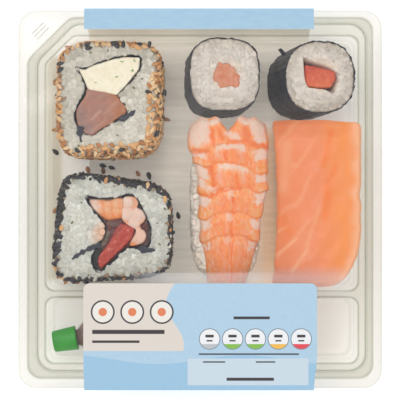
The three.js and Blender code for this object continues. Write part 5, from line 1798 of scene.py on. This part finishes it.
def make_nigiri_rice(prefix, block, cover, seed):
    """The pressed block of rice under a nigiri's topping, with grains wherever it shows."""
    half = np.array(block["half"])
    count = 110
    turns = circle(count)
    unit = superellipse(turns, block["power"])[:, None] * np.column_stack([np.cos(turns), np.sin(turns)])
    outline = even(unit * (half - 0.8), count)
    height = min(block["height"], cover - FOOD_BASE) - 0.4
    rims = np.full(count, block["edge"])
    rings = [at_height(offset_loop(outline, -1.4), 0.15), at_height(outline, 1.8)]
    rings += rounded_over(outline, rims, height - 0.55, np.linspace(0, 1, 6))
    top = fill(rings[-1][:, :2], z=rings[-1][0, 2])
    points, faces = join([lofted(rings), top, fill(rings[0][:, :2], z=0.15)])
    place = place_of(block)
    core = piece(prefix + "_core", points + place, faces, [nigiri_rice_paint], "rice", [prefix + "_rice"],
                 weld=0.01)
    mark(core, tone=0.95)
    rng = np.random.default_rng(seed)
    tries = 9000
    index = rng.integers(0, count, tries)
    run = rng.uniform(0.7, height + 2.0, tries)
    outer = even(unit * (half - 0.35), count)
    spots, directions = side_surface(outer, side_normals(outer), height, rims, index, run)
    keep = spread_out(spots, 1.95)
    low = rng.uniform(-half, half, (2500, 2))
    low = at_height(low[inside(low, offset_loop(outline, -1.5))], 0.7)
    low = low[spread_out(low, 2.7)]
    directions = np.vstack([directions[keep], upright(len(low), -1.0)])

    def trimmed(points):
        points[:, 2] = np.clip(points[:, 2], 0.1, height + 0.3)
        return points + place

    spots = np.vstack([spots[keep], low])
    add_grains(prefix + "_grains", spots, directions, nigiri_rice_paint, "rice", seed + 1, trimmed)


# ---- Soy sauce bottle ---------------------------------------------------------------------------


def lay_down(points):
    """Lays a piece turned about the Z axis in the front well, its mouth to the left."""
    turn = math.radians(BOTTLE["turn"])
    along, across, up = points[:, 2], points[:, 0], points[:, 1] * BOTTLE["flatness"]
    return np.column_stack([
        BOTTLE["mouth"][0] + along * math.cos(turn) - across * math.sin(turn),
        BOTTLE["mouth"][1] + along * math.sin(turn) + across * math.cos(turn),
        BOTTLE["axis_height"] + up,
    ])


def turned(profile, sides, wave=None):
    """A closed piece turned about the Z axis from (radius, height) pairs; wave varies its radius."""
    turns = circle(sides)
    rings = []
    for radius, height in profile:
        reach = radius + (wave(turns, height) if wave else np.zeros(sides))
        rings.append(np.column_stack([reach * np.cos(turns), reach * np.sin(turns), np.full(sides, height)]))
    return lofted(rings)


def smooth_profile(profile):
    """A profile with its bends softened."""
    line = even(np.array(profile), 200, closed=False)
    for _ in range(30):
        line[1:-1] = (line[:-2] + 2 * line[1:-1] + line[2:]) / 4
    return even(line, 60, closed=False)


def make_bottle():
    """The clear bottle, open at its mouth, and the sauce inside it."""
    wall = BOTTLE["wall"]
    outer = smooth_profile([*BOTTLE_PROFILE, (AXIS, BOTTLE_END)])
    inner, liquid = (outer - side_normals(outer, closed=False) * depth for depth in (wall, wall - 0.12))
    inner = inner[inner[:, 0] > 0.3]
    points, faces = turned(np.vstack([[[AXIS, BOTTLE_END - wall]], inner[::-1], outer]), 48)
    piece("bottle_shell", lay_down(points), faces, [bottle_material()], "clear_bottle", ["soy_bottle"])
    liquid = liquid[(liquid[:, 0] > 0.3) & (liquid[:, 1] > BOTTLE_PROFILE[0][1] + 1.0)]
    profile = np.vstack([[[AXIS, liquid[0, 1]]], liquid, [[AXIS, BOTTLE_END - wall + 0.12]]])
    points, faces = turned(profile, 48)
    piece("bottle_sauce", lay_down(points), faces, [sauce_material()], "soy_sauce", ["soy_sauce"])


def make_cap():
    """The ribbed screw cap on the bottle's neck, closed at its mouth end."""
    neck, mouth = BOTTLE_PROFILE[0]
    socket, depth = neck + GAP, mouth - GAP
    tip, rim, length = CAP["mouth_radius"], CAP["rim_radius"], CAP["length"]
    profile = [
        (AXIS, 0.0), (tip - 1.2, 0.0), (tip - 0.45, 0.08), (tip - 0.1, 0.35), (tip, 0.8), (4.0, 2.0),
        (4.15, 4.0), (4.3, 6.0), (rim - 0.12, length - 1.4), (rim, length - 1.0), (rim, length - 0.15),
        (rim - 0.2, length), (socket, length), (socket, depth), (AXIS, depth),
    ]

    def ribs(turns, height):
        body = 1.0 if 0.7 < height < length - 1.5 else 0.0
        return -0.14 * body * (0.5 + 0.5 * np.cos(CAP["ribs"] * turns))

    points, faces = turned(profile, 4 * CAP["ribs"], ribs)
    piece("bottle_cap", lay_down(points), faces, [cap_material()], "green_plastic", ["soy_cap"], sharp=50)


# ---- Loose seeds --------------------------------------------------------------------------------

LOOSE_SEEDS = [
    (-53.4, 44.5, 0.1), (-54.6, 44.0, 0.75), (-54.5, 26.1, 0.8), (-54.4, 17.8, 0.15), (-36.5, 12.6, 0.1),
    (-42.1, 10.9, 0.62), (-36.5, 10.9, 0.5), (-33.1, 11.9, 0.05), (-23.4, 9.8, 0.58), (-19.2, 8.8, 0.1),
    (-14.2, 0.6, 0.6), (-54.2, -4.0, 0.7), (-54.4, -18.0, 0.12), (-53.8, -25.5, 0.66), (-53.0, -28.5, 0.6),
    (-12.4, 30.0, 0.7), (-8.2, -6.0, 0.1), (-50.4, -30.6, 0.7), (-46.0, -31.0, 0.6), (-42.5, -31.2, 0.1),
]
FACE_SEEDS = [
    (-28.0, 56.6, 0.1), (-31.5, 56.9, 0.05), (-40.6, 55.2, 0.1), (-18.4, 56.4, 0.1), (-15.9, 38.8, 0.05),
    (-12.9, 38.9, 0.08), (-24.6, 55.8, 0.72), (-22.6, 55.4, 0.8), (-16.0, 52.0, 0.85), (-15.4, 45.8, 0.8),
    (-18.6, 37.2, 0.75), (-17.6, 30.6, 0.9), (-15.6, 24.4, 0.1), (-18.8, 22.4, 0.7), (-24.2, 19.4, 0.85),
    (-44.6, 17.8, 0.1), (-35.0, 18.6, 0.8), (-28.4, 18.2, 0.1), (-40.0, 19.0, 0.8),
]
SPECK = (1.1, 0.7, 0.4)  # length, width and thickness
CHIVE = (1.3, 0.5, 0.3)
CHIVES = [(-28.6, 50.3), (-23.9, 50.6), (-34.9, 45.2), (-30.6, 44.6), (-38.2, 42.6)]
SESAME_ROLL_SPECKS = [
    (-39.9, 53.6), (-33.6, 54.2), (-21.2, 44.0), (-24.2, 40.8), (-30.2, 23.4), (-44.2, 19.6), (-18.4, 33.6),
]
BLACK_ROLL_SPECKS = [
    (-43.4, -1.2), (-25.4, 4.4), (-44.0, -20.2), (-40.8, -27.6), (-19.6, -25.2), (-23.0, -28.2),
    (-15.6, -8.6), (-12.8, -3.4), (-14.8, -16.4), (-46.8, -8.4), (-31.4, 4.8),
]


def lay_seeds(name, places, level, seed, sink, tilt):
    """Single seeds, each given by its place and tone; level says how high they lie at an x."""
    x, y, tones = np.array(places).T
    add_seeds(name, np.column_stack([x, y, level(x)]), upright(len(x)), tones, seed, sink=sink, tilt=tilt)


def floor_level(x):
    return np.full(len(x), FLOOR + 0.42)


def face_level(x):
    """The height of the sesame roll's cut face, which rounds over at its right rim."""
    return FOOD_BASE + SESAME_ROLL["height"] + 0.15 - 1.6 * (x > -20) * smooth_step(-20, -13, x)


def make_specks(name, places, roll, size, colours, seed):
    """Little bits that lie on a roll's cut face."""
    rng = np.random.default_rng(seed)
    spots = at_height(np.array(places), FOOD_BASE + roll["height"] - 0.1)
    count = len(spots)
    axes = frames(upright(count), rng.uniform(0, math.pi, count), rng.normal(0, 0.1, count))
    sizes = rng.uniform(0.7, 1.2, (count, 1)) * np.array([size])
    points, faces, _ = scattered([pip(8, 6, grain_profile, 0.5)], spots, axes, sizes)
    p = Paint(name)
    colour = p.mix(p.span(p.noise(0.6), 0.35, 0.65), *colours)
    piece(name, points, faces, [p.surface(base_color=colour, roughness=0.5)], "rice", weld=0)


# ---- Stage, lights and camera -------------------------------------------------------------------

CAMERA_PLACE = (-0.000054, -0.00025, 0.649)
CAMERA_LENS = 155.0
SENSOR = 36.0
KEY_LIGHT = dict(place=(-0.26, 0.26, 0.90), size=0.40, power=1.8)
WORLD_LIGHT = 1.02
FLOOR_GLOW = 0.25
FLOOR_REACH, FLOOR_LEVEL = 3.0, -0.0003
WHITE = (1.0, 1.0, 1.0, 1.0)


def make_stage():
    """A pale floor that glows a little, under an even white sky."""
    scene = bpy.context.scene
    scene.view_settings.view_transform = "Standard"
    scene.cycles.transparent_max_bounces = 40
    mesh = bpy.data.meshes.new("floor")
    corners = FLOOR_REACH * np.array([(-1, -1), (1, -1), (1, 1), (-1, 1)])
    mesh.from_pydata(at_height(corners, FLOOR_LEVEL).tolist(), [], [(0, 1, 2, 3)])
    floor = bpy.data.objects.new("floor", mesh)
    p = Paint("floor")
    shade = p.mix(p.span(p.noise(40.0), 0.3, 0.7), (0.94, 0.94, 0.94, 1), (0.95, 0.95, 0.95, 1))
    mesh.materials.append(p.surface(base_color=shade, roughness=0.9, specular_ior_level=0.0,
                                    emission_color=WHITE, emission_strength=FLOOR_GLOW))
    scene.collection.objects.link(floor)
    world = bpy.data.worlds.new("studio")
    world.use_nodes = True
    sky = world.node_tree.nodes["Background"].inputs
    sky["Color"].default_value = WHITE
    sky["Strength"].default_value = WORLD_LIGHT
    scene.world = world


def add_light(name, place, size, power):
    light = bpy.data.lights.new(name, "AREA")
    light.shape = "DISK"
    light.size = size
    light.energy = power
    lamp = bpy.data.objects.new(name, light)
    lamp.location = place
    lamp.rotation_euler = (-Vector(place)).to_track_quat("-Z", "Y").to_euler()
    bpy.context.scene.collection.objects.link(lamp)


def make_camera():
    data = bpy.data.cameras.new("camera")
    data.lens = CAMERA_LENS
    data.sensor_width = SENSOR
    data.clip_start = 0.01
    camera = bpy.data.objects.new("camera", data)
    camera.location = CAMERA_PLACE
    bpy.context.scene.collection.objects.link(camera)
    bpy.context.scene.camera = camera


make_stage()
add_light("key", **KEY_LIGHT)
make_camera()

rice_paint = rice_material("rice", seen(238, 236, 226), seen(196, 195, 186))
warm_rice_paint = rice_material("warm_rice", seen(238, 231, 218), seen(196, 190, 176))
maki_rice_paint = rice_material("maki_rice", seen(250, 240, 231), seen(196, 184, 172))
nigiri_rice_paint = rice_material("nigiri_rice", seen(255, 246, 235), seen(240, 220, 203))
nori_paint = nori_material()
seed_paint = seed_material()
# the bed's colours stand partly for seaweed and partly for painted shade
shaded_bed_paint = flesh_material("roll_shaded_bed", seen(116, 60, 50), seen(138, 130, 114), seen(62, 56, 58), size=1.4,
                           roughness=0.4, relief=0.2)
fish_paint = flesh_material("cooked_salmon", seen(173, 124, 108), seen(156, 126, 120), seen(184, 122, 90),
                            light=seen(206, 160, 140), size=2.6, stretch=(2.2, 1.0, 1.0), roughness=0.42)
maki_fish_paint = flesh_material("maki_salmon", seen(212, 138, 106), seen(222, 166, 142), seen(202, 116, 80))
roll_prawn_paint = flesh_material("roll_prawn", seen(238, 172, 126), seen(234, 204, 190), seen(232, 140, 84),
                                  roughness=0.38, relief=0.14)
roll_pepper_paint = pepper_material("roll_pepper", seen(182, 70, 54), seen(200, 98, 76), seen(152, 52, 42))
maki_pepper_paint = pepper_material("maki_pepper", seen(214, 96, 70), seen(228, 124, 80), seen(196, 72, 54))
salmon_paint = salmon_material()
prawn_paint = prawn_material()
tray_paint = tray_material()

make_tray()
make_peel_mark()
make_film()
make_sleeve()
make_sesame_roll()
make_black_sesame_roll()
make_salmon_maki()
make_pepper_maki()
make_nigiri_rice("prawn_nigiri", PRAWN_RICE, cover=18.6, seed=61)
make_prawn()
make_nigiri_rice("salmon_nigiri", SALMON_RICE, cover=17.5, seed=63)
make_salmon()
make_bottle()
make_cap()
lay_seeds("loose_seeds", LOOSE_SEEDS, floor_level, seed=71, sink=0.0, tilt=0.05)
lay_seeds("face_seeds", FACE_SEEDS, face_level, seed=73, sink=0.1, tilt=0.15)
make_specks("chives", CHIVES, SESAME_ROLL, CHIVE, (seen(146, 172, 112), seen(170, 190, 140)), 81)
husk = (seen(128, 122, 92), seen(152, 140, 104))
make_specks("sesame_roll_specks", SESAME_ROLL_SPECKS, SESAME_ROLL, SPECK, husk, 83)
make_specks("black_roll_specks", BLACK_ROLL_SPECKS, BLACK_SESAME_ROLL, SPECK, husk, 84)
